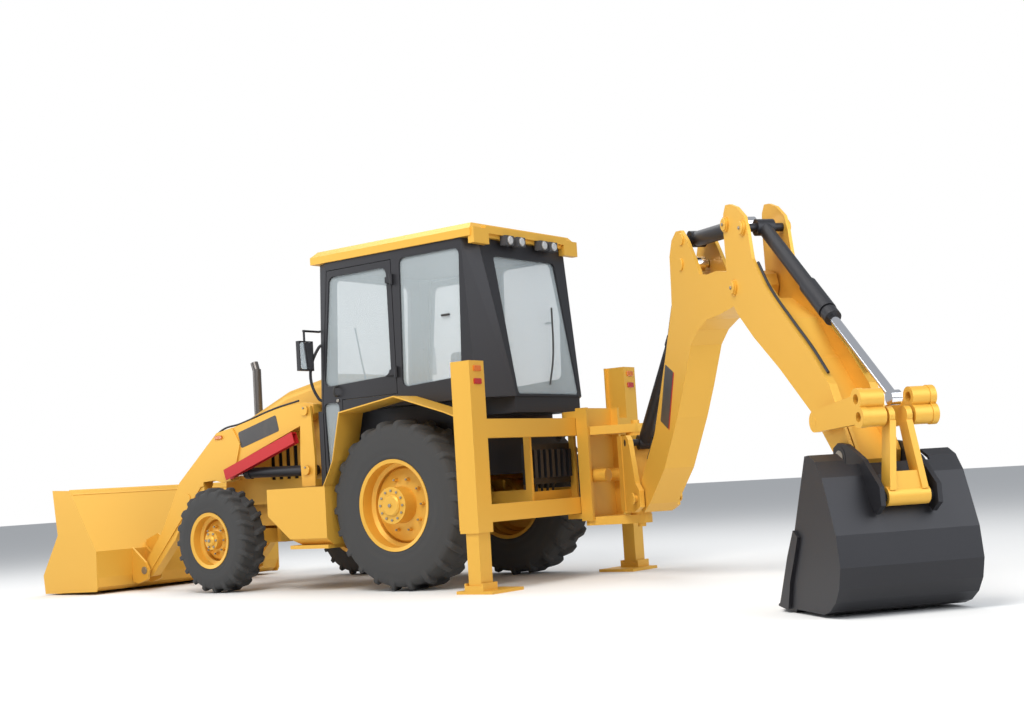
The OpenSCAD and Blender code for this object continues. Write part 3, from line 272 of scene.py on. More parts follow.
EXTRA = {
    "dark_panel": (weathered, (DARK_PANEL,), dict(rough=0.35, dust=0.25, wear=0.1, edge=0.001)),
    "hose_rubber": (weathered, ((0.018, 0.018, 0.019),), dict(rough=0.55, dust=0.45, wear=0.0, grain=0.4,
                                                           grain_scale=900.0)),
    "bolt_steel": (weathered, ((0.30, 0.28, 0.25),), dict(rough=0.4, dust=0.5, wear=0.6, metallic=0.85,
                                                      edge=0.001)),
    "lamp_lens": (clear, ((0.80, 0.82, 0.84),), dict(rough=0.08, dust=0.4, alpha=0.75)),
    "orange_lens": (clear, ((0.80, 0.20, 0.01),), dict(rough=0.15, dust=0.3, alpha=0.95)),
    "red_lens": (clear, ((0.55, 0.01, 0.01),), dict(rough=0.15, dust=0.3, alpha=0.95)),
    "white_lens": (clear, ((0.75, 0.74, 0.70),), dict(rough=0.2, dust=0.3, alpha=0.95)),
    "mirror_glass": (weathered, ((0.85, 0.86, 0.88),), dict(rough=0.03, dust=0.12, wear=0.0, metallic=1.0)),
}


def mat(name):
    return bpy.data.materials[name]


# Mesh tools


def add_mesh(name, verts, faces, material, body, smooth=False):
    """One mesh object from a vertex array and a list or array of faces, riding on a body."""
    mesh = bpy.data.meshes.new(name)
    mesh.from_pydata(np.asarray(verts, float).tolist(), [], [list(map(int, f)) for f in faces])
    mesh.polygons.foreach_set("use_smooth", [smooth] * len(mesh.polygons))
    mesh.materials.append(mat(material))
    obj = bpy.data.objects.new(name, mesh)
    bpy.context.scene.collection.objects.link(obj)
    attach(obj, body)
    return obj


def grid_faces(rows, columns, wrap):
    """Quads of a rows x columns grid; the rows close on themselves when wrap is set."""
    i = np.arange(rows if wrap else rows - 1)[:, None]
    j = np.arange(columns - 1)[None, :]
    a = i * columns + j
    b = ((i + 1) % rows) * columns + j
    return np.stack([a, b, b + 1, a + 1], -1).reshape(-1, 4)


def ring_faces(levels, count):
    """Quads between closed rings of count points each, level by level."""
    level = np.arange(levels - 1)[:, None] * count
    i = np.arange(count)[None, :]
    j = (i + 1) % count
    quads = np.stack([level + i, level + j, level + count + j, level + count + i], -1)
    return quads.reshape(-1, 4).tolist()


def square_to(normal):
    """A direction at unit length, and two unit vectors square to it and to each other."""
    n = np.asarray(normal, float) / np.linalg.norm(normal)
    helper = np.array([0, 0, 1.0]) if abs(n[2]) < 0.9 else np.array([1.0, 0, 0])
    u = np.cross(helper, n)
    u /= np.linalg.norm(u)
    return n, u, np.cross(n, u)


def prisms(name, centres, normal, radius, height, sides, body, material, chamfer=0.18):
    """Round or hexagonal heads: rings at 0, height less a chamfer, and height, with a cap on the last.

    The foot stays open, because it stands on or in another surface.
    """
    n, u, v = square_to(normal)
    a = np.arange(sides) * 2 * np.pi / sides
    ring = np.cos(a)[:, None] * u + np.sin(a)[:, None] * v
    cut = chamfer * min(radius, height)
    levels = [(radius, 0.0), (radius, height - cut), (radius - cut, height)]
    one = np.concatenate([r * ring + h * n for r, h in levels])
    verts = np.concatenate([np.asarray(c, float) + one for c in centres])
    one_faces = ring_faces(3, sides) + [list(range(2 * sides, 3 * sides))]
    faces = [[k * 3 * sides + i for i in face] for k in range(len(centres)) for face in one_faces]
    return add_mesh(name, verts, faces, material, body)


def plate(name, centre, along, normal, length, width, thick, corner, body, material):
    """A flat plate with round corners and a chamfered rim, standing on a surface with its foot open.

    Three rings of one outline: at 0, at 0.7 of the thickness, and at its full height, drawn in by 0.3 of it.
    """
    n = np.asarray(normal, float) / np.linalg.norm(normal)
    u = np.asarray(along, float) / np.linalg.norm(along)
    v = np.cross(n, u)
    a = np.linspace(0, np.pi / 2, 6)
    outline = []
    for k, (sx, sy) in enumerate(((1, 1), (-1, 1), (-1, -1), (1, -1))):
        t = a + k * np.pi / 2
        outline.append(np.stack([sx * (length / 2 - corner) + corner * np.cos(t),
                                 sy * (width / 2 - corner) + corner * np.sin(t)], -1))
    outline = np.concatenate(outline)
    count = len(outline)
    rings = []
    for inset, h in ((0.0, 0.0), (0.0, thick * 0.7), (thick * 0.3, thick)):
        scale = 1 - 2 * inset / np.array([length, width])
        p = outline * scale
        rings.append(np.asarray(centre, float) + p[:, :1] * u + p[:, 1:] * v + h * n)
    faces = ring_faces(3, count) + [list(range(2 * count, 3 * count))]
    return add_mesh(name, np.concatenate(rings), faces, material, body)


def tube(name, points, radius, body, material, smooth=True):
    """A round bar, pipe or hose along given points."""
    curve = bpy.data.curves.new(name, "CURVE")
    curve.dimensions = "3D"
    curve.bevel_depth = radius
    curve.bevel_resolution = 4
    curve.resolution_u = 10
    curve.use_fill_caps = True
    spline = curve.splines.new("BEZIER" if smooth else "POLY")
    if smooth:
        spline.bezier_points.add(len(points) - 1)
        for p, where in zip(spline.bezier_points, points):
            p.co = Vector(where)
            p.handle_left_type = p.handle_right_type = "AUTO"
    else:
        spline.points.add(len(points) - 1)
        for p, where in zip(spline.points, points):
            p.co = (*where, 1)
    curve.materials.append(mat(material))
    obj = bpy.data.objects.new(name, curve)
    bpy.context.scene.collection.objects.link(obj)
    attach(obj, body)
    return obj


def smoothstep(x, low, high):
    """0 up to low, 1 from high on, and 3 t^2 - 2 t^3 between, t the share of the way."""
    t = np.clip((x - low) / (high - low), 0, 1)
    return t * t * (3 - 2 * t)


# Tyres


LUG_SLANT = np.radians(22)
LUG_FLANK = 0.009  # width over which a lug falls to the tread
RIB_RISE = 0.0025
RIB_FROM_BEAD = 0.075
TYRE_INSET = 0.0005  # keeps the lugs within the CAD tyre's radius
TYRE_GRIDS = {"rear": dict(lug_half=0.020, steps=880, across=84),
              "front": dict(lug_half=0.016, steps=640, across=72)}


def tyre_surface(radius, width, bead, lugs, lug_height, lug_half, steps, across):
    """Tyre as a height field over (angle a, place v across the section).

    The section runs from bead to bead through (r, y) guide points. A lug's centre line lies at
    a0(y) = i * pitch - tan(slant) * (|y| - 0.26 w) / r, half a pitch later on the far side, and the surface
    rises by lug_height * (1 - smoothstep(half, half + flank, d)), d the distance from that line. The rise
    fades to nothing at the middle of the tread and below the shoulder. One thin rib runs round each wall.
    """
    base = radius - lug_height
    guide = np.array([(bead, 0.40), (bead + 0.018, 0.455), (bead + 0.05, 0.478), (bead + 0.055, 0.470),
                      (bead + 0.11, 0.49), (bead + (base - bead) * 0.62, 0.488), (base - 0.045, 0.468),
                      (base - 0.018, 0.438), (base - 0.002, 0.36), (base, 0.2), (base, 0.0)])
    half = np.stack([guide[:, 0], guide[:, 1] * width], -1)
    section = np.concatenate([half * [1, -1], half[-2::-1]])
    reach = np.concatenate([[0], np.cumsum(np.linalg.norm(np.diff(section, axis=0), axis=1))])
    s = np.linspace(0, reach[-1], across)
    r = np.interp(s, reach, section[:, 0])
    y = np.interp(s, reach, section[:, 1])
    a = np.arange(steps) * 2 * np.pi / steps
    A, Y = np.meshgrid(a, y, indexing="ij")
    R = np.broadcast_to(r, A.shape).copy()
    pitch = 2 * np.pi / lugs
    shift = np.where(Y > 0, 0.5, 0.0) * pitch
    line = shift - np.tan(LUG_SLANT) * (np.abs(Y) - 0.26 * width) / radius
    off = (A - line + pitch / 2) % pitch - pitch / 2
    d = np.abs(off) * radius * np.cos(LUG_SLANT)
    body = 1 - smoothstep(d, lug_half, lug_half + LUG_FLANK)
    body *= smoothstep(np.abs(Y), 0.03 * width, 0.06 * width) * smoothstep(R, base - 0.075, base - 0.012)
    rise = lug_height * body
    ribs = RIB_RISE * (1 - smoothstep(np.abs(R - (bead + RIB_FROM_BEAD)), 0.0, 0.006))
    spread = np.sign(Y) * rise * 0.10 * smoothstep(np.abs(Y), 0.42 * width, 0.47 * width)
    Y = Y * (1 + ribs / (0.5 * width)) + spread
    R = R + rise
    Y = np.clip(Y, -width / 2, width / 2)
    return np.stack([R * np.cos(A), Y, R * np.sin(A)], -1)


class TyreSettings(bpy.types.PropertyGroup):
    rear_lugs: bpy.props.IntProperty(
        name="Rear lugs", description="Lugs on each half of a rear tyre", default=22)
    front_lugs: bpy.props.IntProperty(
        name="Front lugs", description="Lugs on each half of a front tyre", default=20)
    lug_height: bpy.props.FloatProperty(
        name="Lug height", description="Height of a lug", default=0.032, unit="LENGTH")
    rear_bead: bpy.props.FloatProperty(
        name="Rear bead", description="Rear bead radius", default=0.358, unit="LENGTH")
    front_bead: bpy.props.FloatProperty(
        name="Front bead", description="Front bead radius", default=0.231, unit="LENGTH")


class BACKHOE_OT_tyres(bpy.types.Operator):
    """Four tyres with finer slanted lugs in place of the CAD ones"""

    bl_idname = "backhoe.tyres"
    bl_label = "Tyres"

    def execute(self, context):
        p = context.scene.backhoe_tyres
        for node in [n for n in NODES if n.endswith("_tyre")]:
            kind = node.split("_")[0]
            grid = TYRE_GRIDS[kind]
            low, high = (np.array(c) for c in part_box(node))
            centre = joint_at(node.replace("tyre", "spin"))
            radius = (high[2] - low[2]) / 2 - TYRE_INSET
            width = high[1] - low[1]
            bead, lugs = getattr(p, kind + "_bead"), getattr(p, kind + "_lugs")
            shape = tyre_surface(radius, width, bead, lugs, p.lug_height, grid["lug_half"], grid["steps"],
                                 grid["across"])
            side = 1 if "left" in node else -1
            shape = shape * [1, -side, 1] + centre
            obj = add_mesh(node + "_lugged", shape.reshape(-1, 3),
                           grid_faces(shape.shape[0], shape.shape[1], True), "tyre_rubber",
                           node.replace("_tyre", "_wheel"), smooth=True)
            if side < 0:
                obj.data.flip_normals()
            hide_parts(node)
        return {"FINISHED"}


# Seat


def cushion_surface(size, crown, rows=72, columns=96):
    """Crowned closed form over two angles u (up) and v (round), with signed powers.

    x = cos(u)^a cos(v)^b, y = cos(u)^a sin(v)^b, z = sin(u)^(1.5 a). The sides pull in between the corners by
    0.35 crown (1 - |sin 2v|) cos(u)^2, z falls by crown (x^2 + y^2) / 2, and two grooves lie at |y| = 0.55.
    """
    u = np.linspace(-np.pi / 2, np.pi / 2, rows)[:, None]
    v = np.linspace(-np.pi, np.pi, columns, endpoint=False)[None, :]

    def power(t, e):
        return np.sign(t) * np.abs(t) ** e

    up_power, round_power = 0.32, 0.30
    groove_depth, groove_at, groove_wide = 0.12, 0.55, 0.05
    x = power(np.cos(u), up_power) * power(np.cos(v), round_power)
    y = power(np.cos(u), up_power) * power(np.sin(v), round_power)
    z = power(np.sin(u), up_power * 1.5) + 0 * v
    pull = 1 - crown * 0.35 * (1 - np.abs(np.sin(2 * v))) * np.cos(u) ** 2
    groove = groove_depth * np.exp(-((np.abs(y) - groove_at) / groove_wide) ** 2) * (z > 0)
    z = z * (1 - crown * (x ** 2 + y ** 2) / 2) - groove
    return np.stack([x * pull * size[0] / 2, y * pull * size[1] / 2, z * size[2] / 2], -1)


class SeatSettings(bpy.types.PropertyGroup):
    crown: bpy.props.FloatProperty(
        name="Crown", description="How far the cushion's middle stands above its rim", default=0.22)


class BACKHOE_OT_seat(bpy.types.Operator):
    """Seat cushion and backrest in place of the plain blocks"""

    bl_idname = "backhoe.seat"
    bl_label = "Seat"

    def execute(self, context):
        crown = context.scene.backhoe_seat.crown
        low, high = (np.array(c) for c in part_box("seat"))
        depth, wide, tall = high - low
        middle = (low + high) / 2
        cushion_thick, back_thick = 0.13, 0.125
        back_tall, back_rise, back_from_rear = tall - 0.16, 0.14, 0.075
        pads = (("seat_cushion", (depth * 0.86, wide, cushion_thick),
                 (middle[0] + depth * 0.05, middle[1], low[2] + cushion_thick / 2), 0.0),
                ("seat_backrest", (back_tall, wide * 0.96, back_thick),
                 (low[0] + back_from_rear, middle[1], low[2] + back_rise + back_tall / 2), 90.0))
        for name, size, centre, tip in pads:
            shape = cushion_surface(size, crown)
            c, s = math.cos(math.radians(tip)), math.sin(math.radians(tip))
            turned = np.stack([shape[..., 0] * c + shape[..., 2] * s, shape[..., 1],
                               -shape[..., 0] * s + shape[..., 2] * c], -1)
            rows, columns = turned.shape[:2]
            faces = grid_faces(columns, rows, True)
            verts = np.swapaxes(turned, 0, 1).reshape(-1, 3) + centre
            obj = add_mesh(name, verts, faces, "seat_fabric", "chassis", smooth=True)
            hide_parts("seat")
        return {"FINISHED"}


# Hardware


WHEEL_HARDWARE = {
    "rear": dict(hub=0.150, hub_face=0.215, hub_bolts=12, studs=10, stud_circle=0.215, stud_face=0.094),
    "front": dict(hub=0.082, hub_face=0.120, hub_bolts=6, studs=8, stud_circle=0.120, stud_face=0.074),
}
TOWER_PINS, TOWER_FACE = ((1.150, 1.560), (1.160, 1.040)), 0.763
ARM_PINS, ARM_FACE = ((2.235, 1.060), (2.795, 0.860)), 0.722
BUCKET_PIN, BUCKET_PIN_FACE = (3.420, 0.195), 0.757
BOOM_HEAD_PINS, BOOM_HEAD_FACE = ((1.930, 0.800), (2.060, 0.930)), 0.120
STICK_PINS, STICK_PIN_FACE = ((0, 0), (-0.329, 0.292), (-0.076, 0.411)), 0.164
BOOM_PIN_FACE = 0.1955
DIG_PIN_X, DIG_PIN_FACE = 1.812, 0.1865
CUTTING_EDGE = (4.300, 0.0262)
EDGE_BOLT_PITCH = 0.25


def wheel_ring(count):
    """Unit vectors evenly spaced round a wheel's axis."""
    a = np.arange(count) * 2 * np.pi / count
    return np.stack([np.cos(a), 0 * a, np.sin(a)], -1)


class HardwareSettings(bpy.types.PropertyGroup):
    pin_cap: bpy.props.FloatProperty(
        name="Pin cap", description="Radius of the cap on a loader pin", default=0.042, unit="LENGTH")


class BACKHOE_OT_hardware(bpy.types.Operator):
    """Wheel studs, hub caps, pin caps and bolts"""

    bl_idname = "backhoe.hardware"
    bl_label = "Hardware"

    def execute(self, context):
        cap = context.scene.backhoe_hardware.pin_cap
        plug_face = 0.022
        for corner in ("rear_left", "rear_right", "front_left", "front_right"):
            w = WHEEL_HARDWARE[corner.split("_")[0]]
            out = np.array([0, 1.0 if "left" in corner else -1.0, 0])
            centre = joint_at(corner + "_spin")
            body = corner + "_wheel"
            face = centre + out * w["hub_face"]
            bolts = face + wheel_ring(w["hub_bolts"]) * w["hub"] * 0.80
            prisms(corner + "_hub_bolts", bolts, out, 0.011, 0.010, HEXAGON, body, "bolt_steel")
            prisms(corner + "_hub_cap", [face], out, w["hub"] * 0.60, plug_face, 48, body, "yellow_paint",
                   0.6)
            prisms(corner + "_hub_plug", [face + out * plug_face], out, 0.016, 0.012, HEXAGON, body,
                   "bolt_steel")
            studs = centre + out * w["stud_face"] + wheel_ring(w["studs"]) * w["stud_circle"]
            prisms(corner + "_studs", studs, out, 0.008, 0.014, 12, body, "bolt_steel")
        for label, side in SIDES:
            out = (0, side, 0)
            pins = [M(x, side * TOWER_FACE, z) for x, z in TOWER_PINS]
            keepers = [q + np.array([0, side * 0.012, 0.024]) for q in pins]
            prisms(label + "_tower_pin_caps", pins, out, cap, 0.012, ROUND, "chassis", "yellow_paint")
            prisms(label + "_tower_pin_bolts", keepers, out, 0.010, 0.008, HEXAGON, "chassis", "bolt_steel")
            pins = [M(x, side * ARM_FACE, z) for x, z in ARM_PINS]
            prisms(label + "_arm_pin_caps", pins, out, cap, 0.008, ROUND, "loader_arms", "yellow_paint")
            pins = [M(BUCKET_PIN[0], side * BUCKET_PIN_FACE, BUCKET_PIN[1])]
            prisms(label + "_bucket_pin_caps", pins, out, 0.036, 0.012, ROUND, "loader_bucket", "bolt_steel")
        edge = [M(CUTTING_EDGE[0], k * EDGE_BOLT_PITCH, CUTTING_EDGE[1]) for k in range(-4, 5)]
        prisms("cutting_edge_bolts", edge, (0, 0, 1), 0.019, 0.010, 24, "loader_bucket", "bolt_steel")
        for tag, s in FLANKS:
            n = BOOM.across * s
            prisms("boom_pin_caps_" + tag, [BOOM.at(0, 0, s * BOOM_PIN_FACE)], n, 0.044, 0.012, ROUND, "boom",
                   "yellow_paint")
            pins = [BOOM.at(x, z, s * BOOM_HEAD_FACE) for x, z in BOOM_HEAD_PINS]
            prisms("boom_plate_caps_" + tag, pins, n, 0.045, 0.012, ROUND, "boom", "yellow_paint")
            pins = [STICK.at(x, z, s * STICK_PIN_FACE) for x, z in STICK_PINS]
            prisms("stick_caps_" + tag, pins, n, 0.042, 0.010, ROUND, "stick", "yellow_paint")
            prisms("stick_cap_bolts_" + tag, [c + n * 0.010 for c in pins], n, 0.012, 0.008, HEXAGON, "stick",
                   "bolt_steel")
            prisms("dig_pin_caps_" + tag, [STICK.at(DIG_PIN_X, 0, s * DIG_PIN_FACE)], n, 0.044, 0.004, ROUND,
                   "dig_bucket", "bolt_steel")
        return {"FINISHED"}


# Lamps and reflectors


class LampSettings(bpy.types.PropertyGroup):
    lens: bpy.props.FloatProperty(
        name="Lens", description="Radius of a work lamp's lens", default=0.034, unit="LENGTH")


class BACKHOE_OT_lamps(bpy.types.Operator):
    """Work lamp lenses, marker lamps and plain reflectors"""

    bl_idname = "backhoe.lamps"
    bl_label = "Lamps"

    def execute(self, context):
        lens = context.scene.backhoe_lamps.lens
        rim_depth, lens_depth, corners = 0.006, 0.007, 40
        lamps = (("rear", -1, [M(-0.862, y, 2.820) for y in (-0.33, -0.19, 0.13, 0.29)]),
                 ("front", 1, [M(1.0408, y, 2.785) for y in (-0.42, 0.42)]))
        for label, ahead, places in lamps:
            out = np.array([ahead, 0, 0])
            fronts = [c + out * rim_depth for c in places]
            prisms(label + "_lamp_rims", places, out, lens * 1.12, rim_depth, corners, "chassis",
                   "bolt_steel")
            prisms(label + "_lamp_lenses", fronts, out, lens, lens_depth, corners, "chassis", "lamp_lens",
                   0.9)
        for label, side in SIDES:
            for name, z, material in (("marker", 1.72, "orange_lens"), ("reflector", 1.62, "red_lens")):
                plate(f"{label}_{name}", M(-1.0602, side * 1.085, z), (0, 1, 0), (-1, 0, 0), 0.09, 0.045,
                      0.012, 0.008, "chassis", material)
            plate(f"{label}_front_reflector", M(-0.870, side * 1.10, 1.66), (0, 1, 0), (1, 0, 0), 0.07, 0.04,
                  0.006, 0.006, "chassis", "white_lens")
            plate(f"{label}_arm_marker", M(2.32, side * 0.7222, 1.40), (1, 0, 0), (0, side, 0), 0.10, 0.035,
                  0.014, 0.008, "loader_arms", "orange_lens")
        return {"FINISHED"}


# Panels and trim


PANEL_THICK = 0.002
ARM_SLOPE = math.radians(-14)
BOOM_PANEL_TURN = math.radians(34)
BOOM_PANEL_LONG = 0.46
HANDLE = ((0.721, 1.66), (0.755, 1.665), (0.755, 1.735), (0.721, 1.74))
GRAB_RAIL = ((0.958, 0.640, 1.62), (1.03, 0.700, 1.66), (1.00, 0.700, 2.10), (0.935, 0.645, 2.14))
LATCH = ((-0.52, 2.22), (-0.50, 2.22), (-0.44, 2.22))
FRONT_WIPER = ((1.012, 0.02, 1.60), (1.016, 0.10, 1.85), (1.000, 0.22, 2.30))
REAR_WIPER = ((-0.955, -0.02, 1.62), (-0.945, -0.10, 1.85), (-0.890, -0.20, 2.28))


class TrimSettings(bpy.types.PropertyGroup):
    panel: bpy.props.FloatProperty(
        name="Arm panel", description="Length of the blank panel on each loader arm", default=0.52,
        unit="LENGTH")


class BACKHOE_OT_trim(bpy.types.Operator):
    """Blank dark panels, mirror glass, door handles and locks, grab rails, latches and wipers"""

    bl_idname = "backhoe.trim"
    bl_label = "Trim"

    def execute(self, context):
        length = context.scene.backhoe_trim.panel
        slope = np.array([math.cos(ARM_SLOPE), 0, math.sin(ARM_SLOPE)])
        for label, side in reversed(SIDES):
            plate(label + "_arm_panel", M(1.80, side * 0.7102, 1.42), slope, (0, side, 0), length, 0.15,
                  PANEL_THICK, 0.02, "loader_arms", "dark_panel")
        along = BOOM.along * math.cos(BOOM_PANEL_TURN) + BOOM.up * math.sin(BOOM_PANEL_TURN)
        for tag, s in FLANKS:
            n = BOOM.across * s
            plate("boom_panel_" + tag, BOOM.at(1.02, 0.265, s * 0.1202), along, n, BOOM_PANEL_LONG, 0.17,
                  PANEL_THICK, 0.012, "boom", "dark_panel")
            edge = BOOM.at(1.02, 0.265, s * 0.1203) - 0.098 * np.cross(BOOM.across, along)
            plate("boom_sliver_" + tag, edge, along, n, BOOM_PANEL_LONG, 0.016, PANEL_THICK, 0.004, "boom",
                  "red_paint")
        for label, side in SIDES:
            plate(label + "_mirror_glass", M(1.0218, side * 0.827, 2.03), (0, 1, 0), (-1, 0, 0), 0.15, 0.235,
                  PANEL_THICK, 0.02, "chassis", "mirror_glass")
            door = label + "_door"
            tube(label + "_door_handle", [M(0.775, side * y, z) for y, z in HANDLE], 0.009, door,
                 "trim_plastic")
            prisms(label + "_door_lock", [M(0.775, side * 0.721, 1.62)], (0, side, 0), 0.015, 0.008, 24, door,
                   "bolt_steel")
            tube(label + "_grab_rail", [M(x, side * y, z) for x, y, z in GRAB_RAIL], 0.013, "chassis",
                 "black_paint")
            tube(label + "_window_latch", [M(x, side * 0.7205, z) for x, z in LATCH], 0.010, "chassis",
                 "trim_plastic")
        for name, route in (("front_wiper", FRONT_WIPER), ("rear_wiper", REAR_WIPER)):
            tube(name, [M(*point) for point in route], 0.008, "chassis", "trim_plastic")
        return {"FINISHED"}


# Pipes and hoses


BOOM_PIPE = ((0.30, 0.176), (0.56, 0.226), (0.90, 0.378), (1.16, 0.505), (1.46, 0.662), (1.56, 0.712))
BOOM_CLIPS = ((0.52, 0.222), (0.86, 0.364), (1.20, 0.530))
BOOM_PIPE_Y, STICK_PIPE_Y, ARM_PIPE_Y = 0.107, 0.126, 0.695
STICK_PIPE = ((0.20, 0.315), (0.44, 0.274), (0.80, 0.273), (1.13, 0.281), (1.36, 0.270))
ARM_PIPE = ((1.28, 1.660), (1.60, 1.612), (2.05, 1.510), (2.30, 1.468), (2.52, 1.325))
VALVE_HOSE = ((0.0, 0.86), (0.045, 0.83), (0.075, 0.74), (0.055, 0.64))
VALVE_FACE, VALVE_PITCH = -0.848, 0.08


class PipeSettings(bpy.types.PropertyGroup):
    pipe: bpy.props.FloatProperty(
        name="Pipe", description="Radius of a steel pipe", default=0.009, unit="LENGTH")
    hose: bpy.props.FloatProperty(
        name="Hose", description="Radius of a fixed hose", default=0.012, unit="LENGTH")


class BACKHOE_OT_pipes(bpy.types.Operator):
    """Steel pipes and clipped hoses, each on one link"""

    bl_idname = "backhoe.pipes"
    bl_label = "Pipes"

    def execute(self, context):
        p = context.scene.backhoe_pipes
        along = BOOM.along * 0.88 + BOOM.up * 0.47
        for tag, s in FLANKS:
            run = [BOOM.at(x, z, s * BOOM_PIPE_Y) for x, z in BOOM_PIPE]
            tube("boom_pipe_" + tag, run, p.pipe, "boom", "black_paint")
            for k, (x, z) in enumerate(BOOM_CLIPS):
                plate(f"boom_clip_{tag}{k}", BOOM.at(x, z, s * BOOM_PIPE_Y), BOOM.across,
                      np.cross(BOOM.across, along), 0.024, 0.035, 0.018, 0.004, "boom", "black_paint")
        for tag, s in FLANKS:
            run = [STICK.at(x, z, s * STICK_PIPE_Y) for x, z in STICK_PIPE]
            tube("stick_pipe_" + tag, run, p.pipe, "stick", "black_paint")
        for label, side in SIDES:
            run = [M(x, side * ARM_PIPE_Y, z) for x, z in ARM_PIPE]
            tube(label + "_arm_pipe", run, p.pipe, "loader_arms", "black_paint")
        for k in range(6):
            y = -0.24 + VALVE_PITCH * k + 0.02
            run = [M(VALVE_FACE + x, y, z) for x, z in VALVE_HOSE]
            tube(f"valve_pipe_{k}", run, p.hose, "chassis", "hose_rubber")
        return {"FINISHED"}


# Paint and stage


SENSOR_WIDTH = 36.0
FRAME_WIDTH = 1024.0
FLOOR_REACH = 60.0


class PaintSettings(bpy.types.PropertyGroup):
    dust: bpy.props.FloatProperty(
        name="Dust", description="Factor on the dust of every material", default=1.0)


class BACKHOE_OT_paint(bpy.types.Operator):
    """Makes every material and gives each CAD node its slot's material"""

    bl_idname = "backhoe.paint"
    bl_label = "Paint"

    def execute(self, context):
        weathered_group()
        factor = context.scene.backhoe_paint.dust
        for name, (make, args, kwargs) in {**LOOKS, **EXTRA}.items():
            m = make(name, *args, **kwargs)
            use = next(n for n in m.node_tree.nodes if n.type == "GROUP")
            use.inputs["Dust"].default_value *= factor
        slots = {s["node"]: s["material_slot"] for s in frame["record"]["subparts"]}
        for node, obj in NODES.items():
            obj.data.materials.clear()
            obj.data.materials.append(mat(slots[node]))
        return {"FINISHED"}


class CameraSettings(bpy.types.PropertyGroup):
    place: bpy.props.FloatVectorProperty(
        name="Place", description="Camera place in the machine's own frame",
        default=(-8.0616, 9.8855, 0.8593), subtype="TRANSLATION")
    yaw: bpy.props.FloatProperty(
        name="Yaw", description="Heading from +X, anticlockwise, in degrees", default=-52.918)
    pitch: bpy.props.FloatProperty(
        name="Pitch", description="Angle above level, in degrees", default=4.768)
    roll: bpy.props.FloatProperty(
        name="Roll", description="Roll in degrees", default=-3.520)
    focal: bpy.props.FloatProperty(
        name="Focal length", description="Focal length in pixels of a 1024 wide frame", default=1464.9)


def area_light(name, place, target, size, power, color=(1, 1, 1)):
    """A soft square light."""
    light = bpy.data.lights.new(name, "AREA")
    light.size = size
    light.energy = power
    light.color = color
    obj = bpy.data.objects.new(name, light)
    obj.location = Vector(place)
    obj.rotation_euler = (Vector(target) - Vector(place)).to_track_quat("-Z", "Y").to_euler()
    bpy.context.scene.collection.objects.link(obj)
    return obj


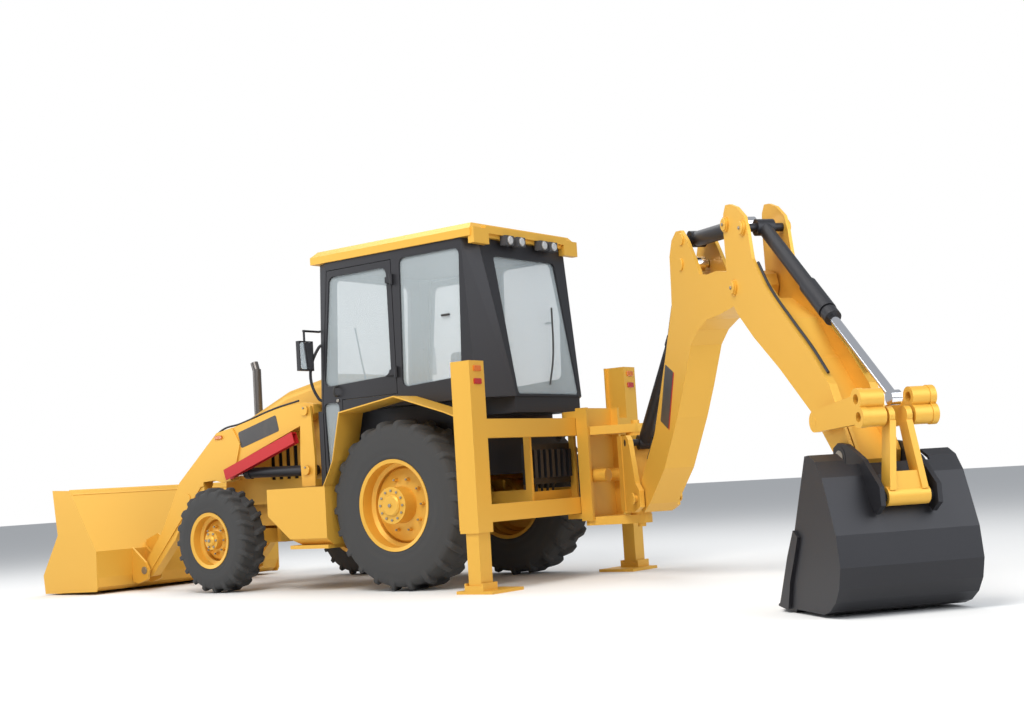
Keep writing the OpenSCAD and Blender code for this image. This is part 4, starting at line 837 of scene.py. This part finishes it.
class BACKHOE_OT_stage(bpy.types.Operator):
    """Camera, floor, lights and white background"""

    bl_idname = "backhoe.stage"
    bl_label = "Stage"

    def execute(self, context):
        p = context.scene.backhoe_camera
        scene = context.scene
        cam = bpy.data.cameras.new("camera")
        cam.sensor_width = SENSOR_WIDTH
        cam.lens = p.focal * SENSOR_WIDTH / FRAME_WIDTH
        cam.clip_end = 500.0
        obj = bpy.data.objects.new("camera", cam)
        scene.collection.objects.link(obj)
        yaw, pitch, roll = (math.radians(v) for v in (p.yaw, p.pitch, p.roll))
        ahead = Vector((math.cos(yaw) * math.cos(pitch), math.sin(yaw) * math.cos(pitch), math.sin(pitch)))
        right = ahead.cross(Vector((0, 0, 1))).normalized()
        up = right.cross(ahead)
        c, s = math.cos(roll), math.sin(roll)
        right, up = c * right + s * up, c * up - s * right
        turn = Matrix((right, up, -ahead)).transposed()
        obj.matrix_world = Matrix.Translation(Vector(M(*p.place))) @ turn.to_4x4()
        scene.camera = obj
        floor_mesh = bpy.data.meshes.new("floor")
        r = FLOOR_REACH
        floor_mesh.from_pydata([(-r, -r, 0), (r, -r, 0), (r, r, 0), (-r, r, 0)], [], [(0, 1, 2, 3)])
        floor = bpy.data.objects.new("floor", floor_mesh)
        scene.collection.objects.link(floor)
        stone = bpy.data.materials.new("floor")
        stone.use_nodes = True
        shader = stone.node_tree.nodes["Principled BSDF"]
        shader.inputs["Base Color"].default_value = (0.80, 0.80, 0.79, 1)
        shader.inputs["Roughness"].default_value = 0.9
        floor_mesh.materials.append(stone)
        middle = Vector(M(0.5, 0, 1.2))
        lights = [area_light("key", M(-3.0, 7.5, 8.5), middle, 5.0, 900, (1.0, 0.97, 0.93)),
                  area_light("fill", M(-10.0, 2.0, 4.5), middle, 6.0, 330, (0.93, 0.96, 1.0)),
                  area_light("top", M(2.0, -2.0, 9.0), middle, 8.0, 480),
                  area_light("front", M(9.0, 5.0, 4.0), middle, 5.0, 260)]
        world = bpy.data.worlds.new("studio")
        world.use_nodes = True
        scene.world = world
        g = Graph(world.node_tree)
        seen = world.node_tree.nodes["Background"]
        seen.inputs[0].default_value = (0.80, 0.84, 0.90, 1)
        seen.inputs[1].default_value = 0.55
        white = g.node("ShaderNodeBackground", {0: (1, 1, 1, 1), 1: 1.0})
        path = g.node("ShaderNodeLightPath")
        mixed = g.node("ShaderNodeMixShader", {0: path.outputs["Is Camera Ray"], 1: seen.outputs[0],
                                               2: white.outputs[0]})
        world.node_tree.links.new(mixed.outputs[0], world.node_tree.nodes["World Output"].inputs[0])
        scene.view_settings.view_transform = "Standard"
        return {"FINISHED"}


class BACKHOE_PT_panel(bpy.types.Panel):
    """Buttons for each stage and its settings"""

    bl_label = "Backhoe loader"
    bl_idname = "BACKHOE_PT_panel"
    bl_space_type = "VIEW_3D"
    bl_region_type = "UI"
    bl_category = "Backhoe"

    def draw(self, context):
        for settings, _, operator in STAGES:
            box = self.layout.box()
            box.operator(operator.bl_idname)
            group = getattr(context.scene, settings)
            for key in group.__annotations__:
                box.prop(group, key)


STAGES = (
    ("backhoe_paint", PaintSettings, BACKHOE_OT_paint),
    ("backhoe_tyres", TyreSettings, BACKHOE_OT_tyres),
    ("backhoe_seat", SeatSettings, BACKHOE_OT_seat),
    ("backhoe_hardware", HardwareSettings, BACKHOE_OT_hardware),
    ("backhoe_lamps", LampSettings, BACKHOE_OT_lamps),
    ("backhoe_trim", TrimSettings, BACKHOE_OT_trim),
    ("backhoe_pipes", PipeSettings, BACKHOE_OT_pipes),
    ("backhoe_camera", CameraSettings, BACKHOE_OT_stage),
)


def register():
    for name, group, operator in STAGES:
        bpy.utils.register_class(group)
        setattr(bpy.types.Scene, name, bpy.props.PointerProperty(type=group))
        bpy.utils.register_class(operator)
    bpy.utils.register_class(BACKHOE_PT_panel)


def unregister():
    bpy.utils.unregister_class(BACKHOE_PT_panel)
    for name, group, operator in reversed(STAGES):
        bpy.utils.unregister_class(operator)
        delattr(bpy.types.Scene, name)
        bpy.utils.unregister_class(group)


def main():
    register()
    bpy.ops.backhoe.paint()
    bpy.ops.backhoe.tyres()
    bpy.ops.backhoe.seat()
    bpy.ops.backhoe.hardware()
    bpy.ops.backhoe.lamps()
    bpy.ops.backhoe.trim()
    bpy.ops.backhoe.pipes()
    bpy.ops.backhoe.stage()


if __name__ == "__main__":
    main()
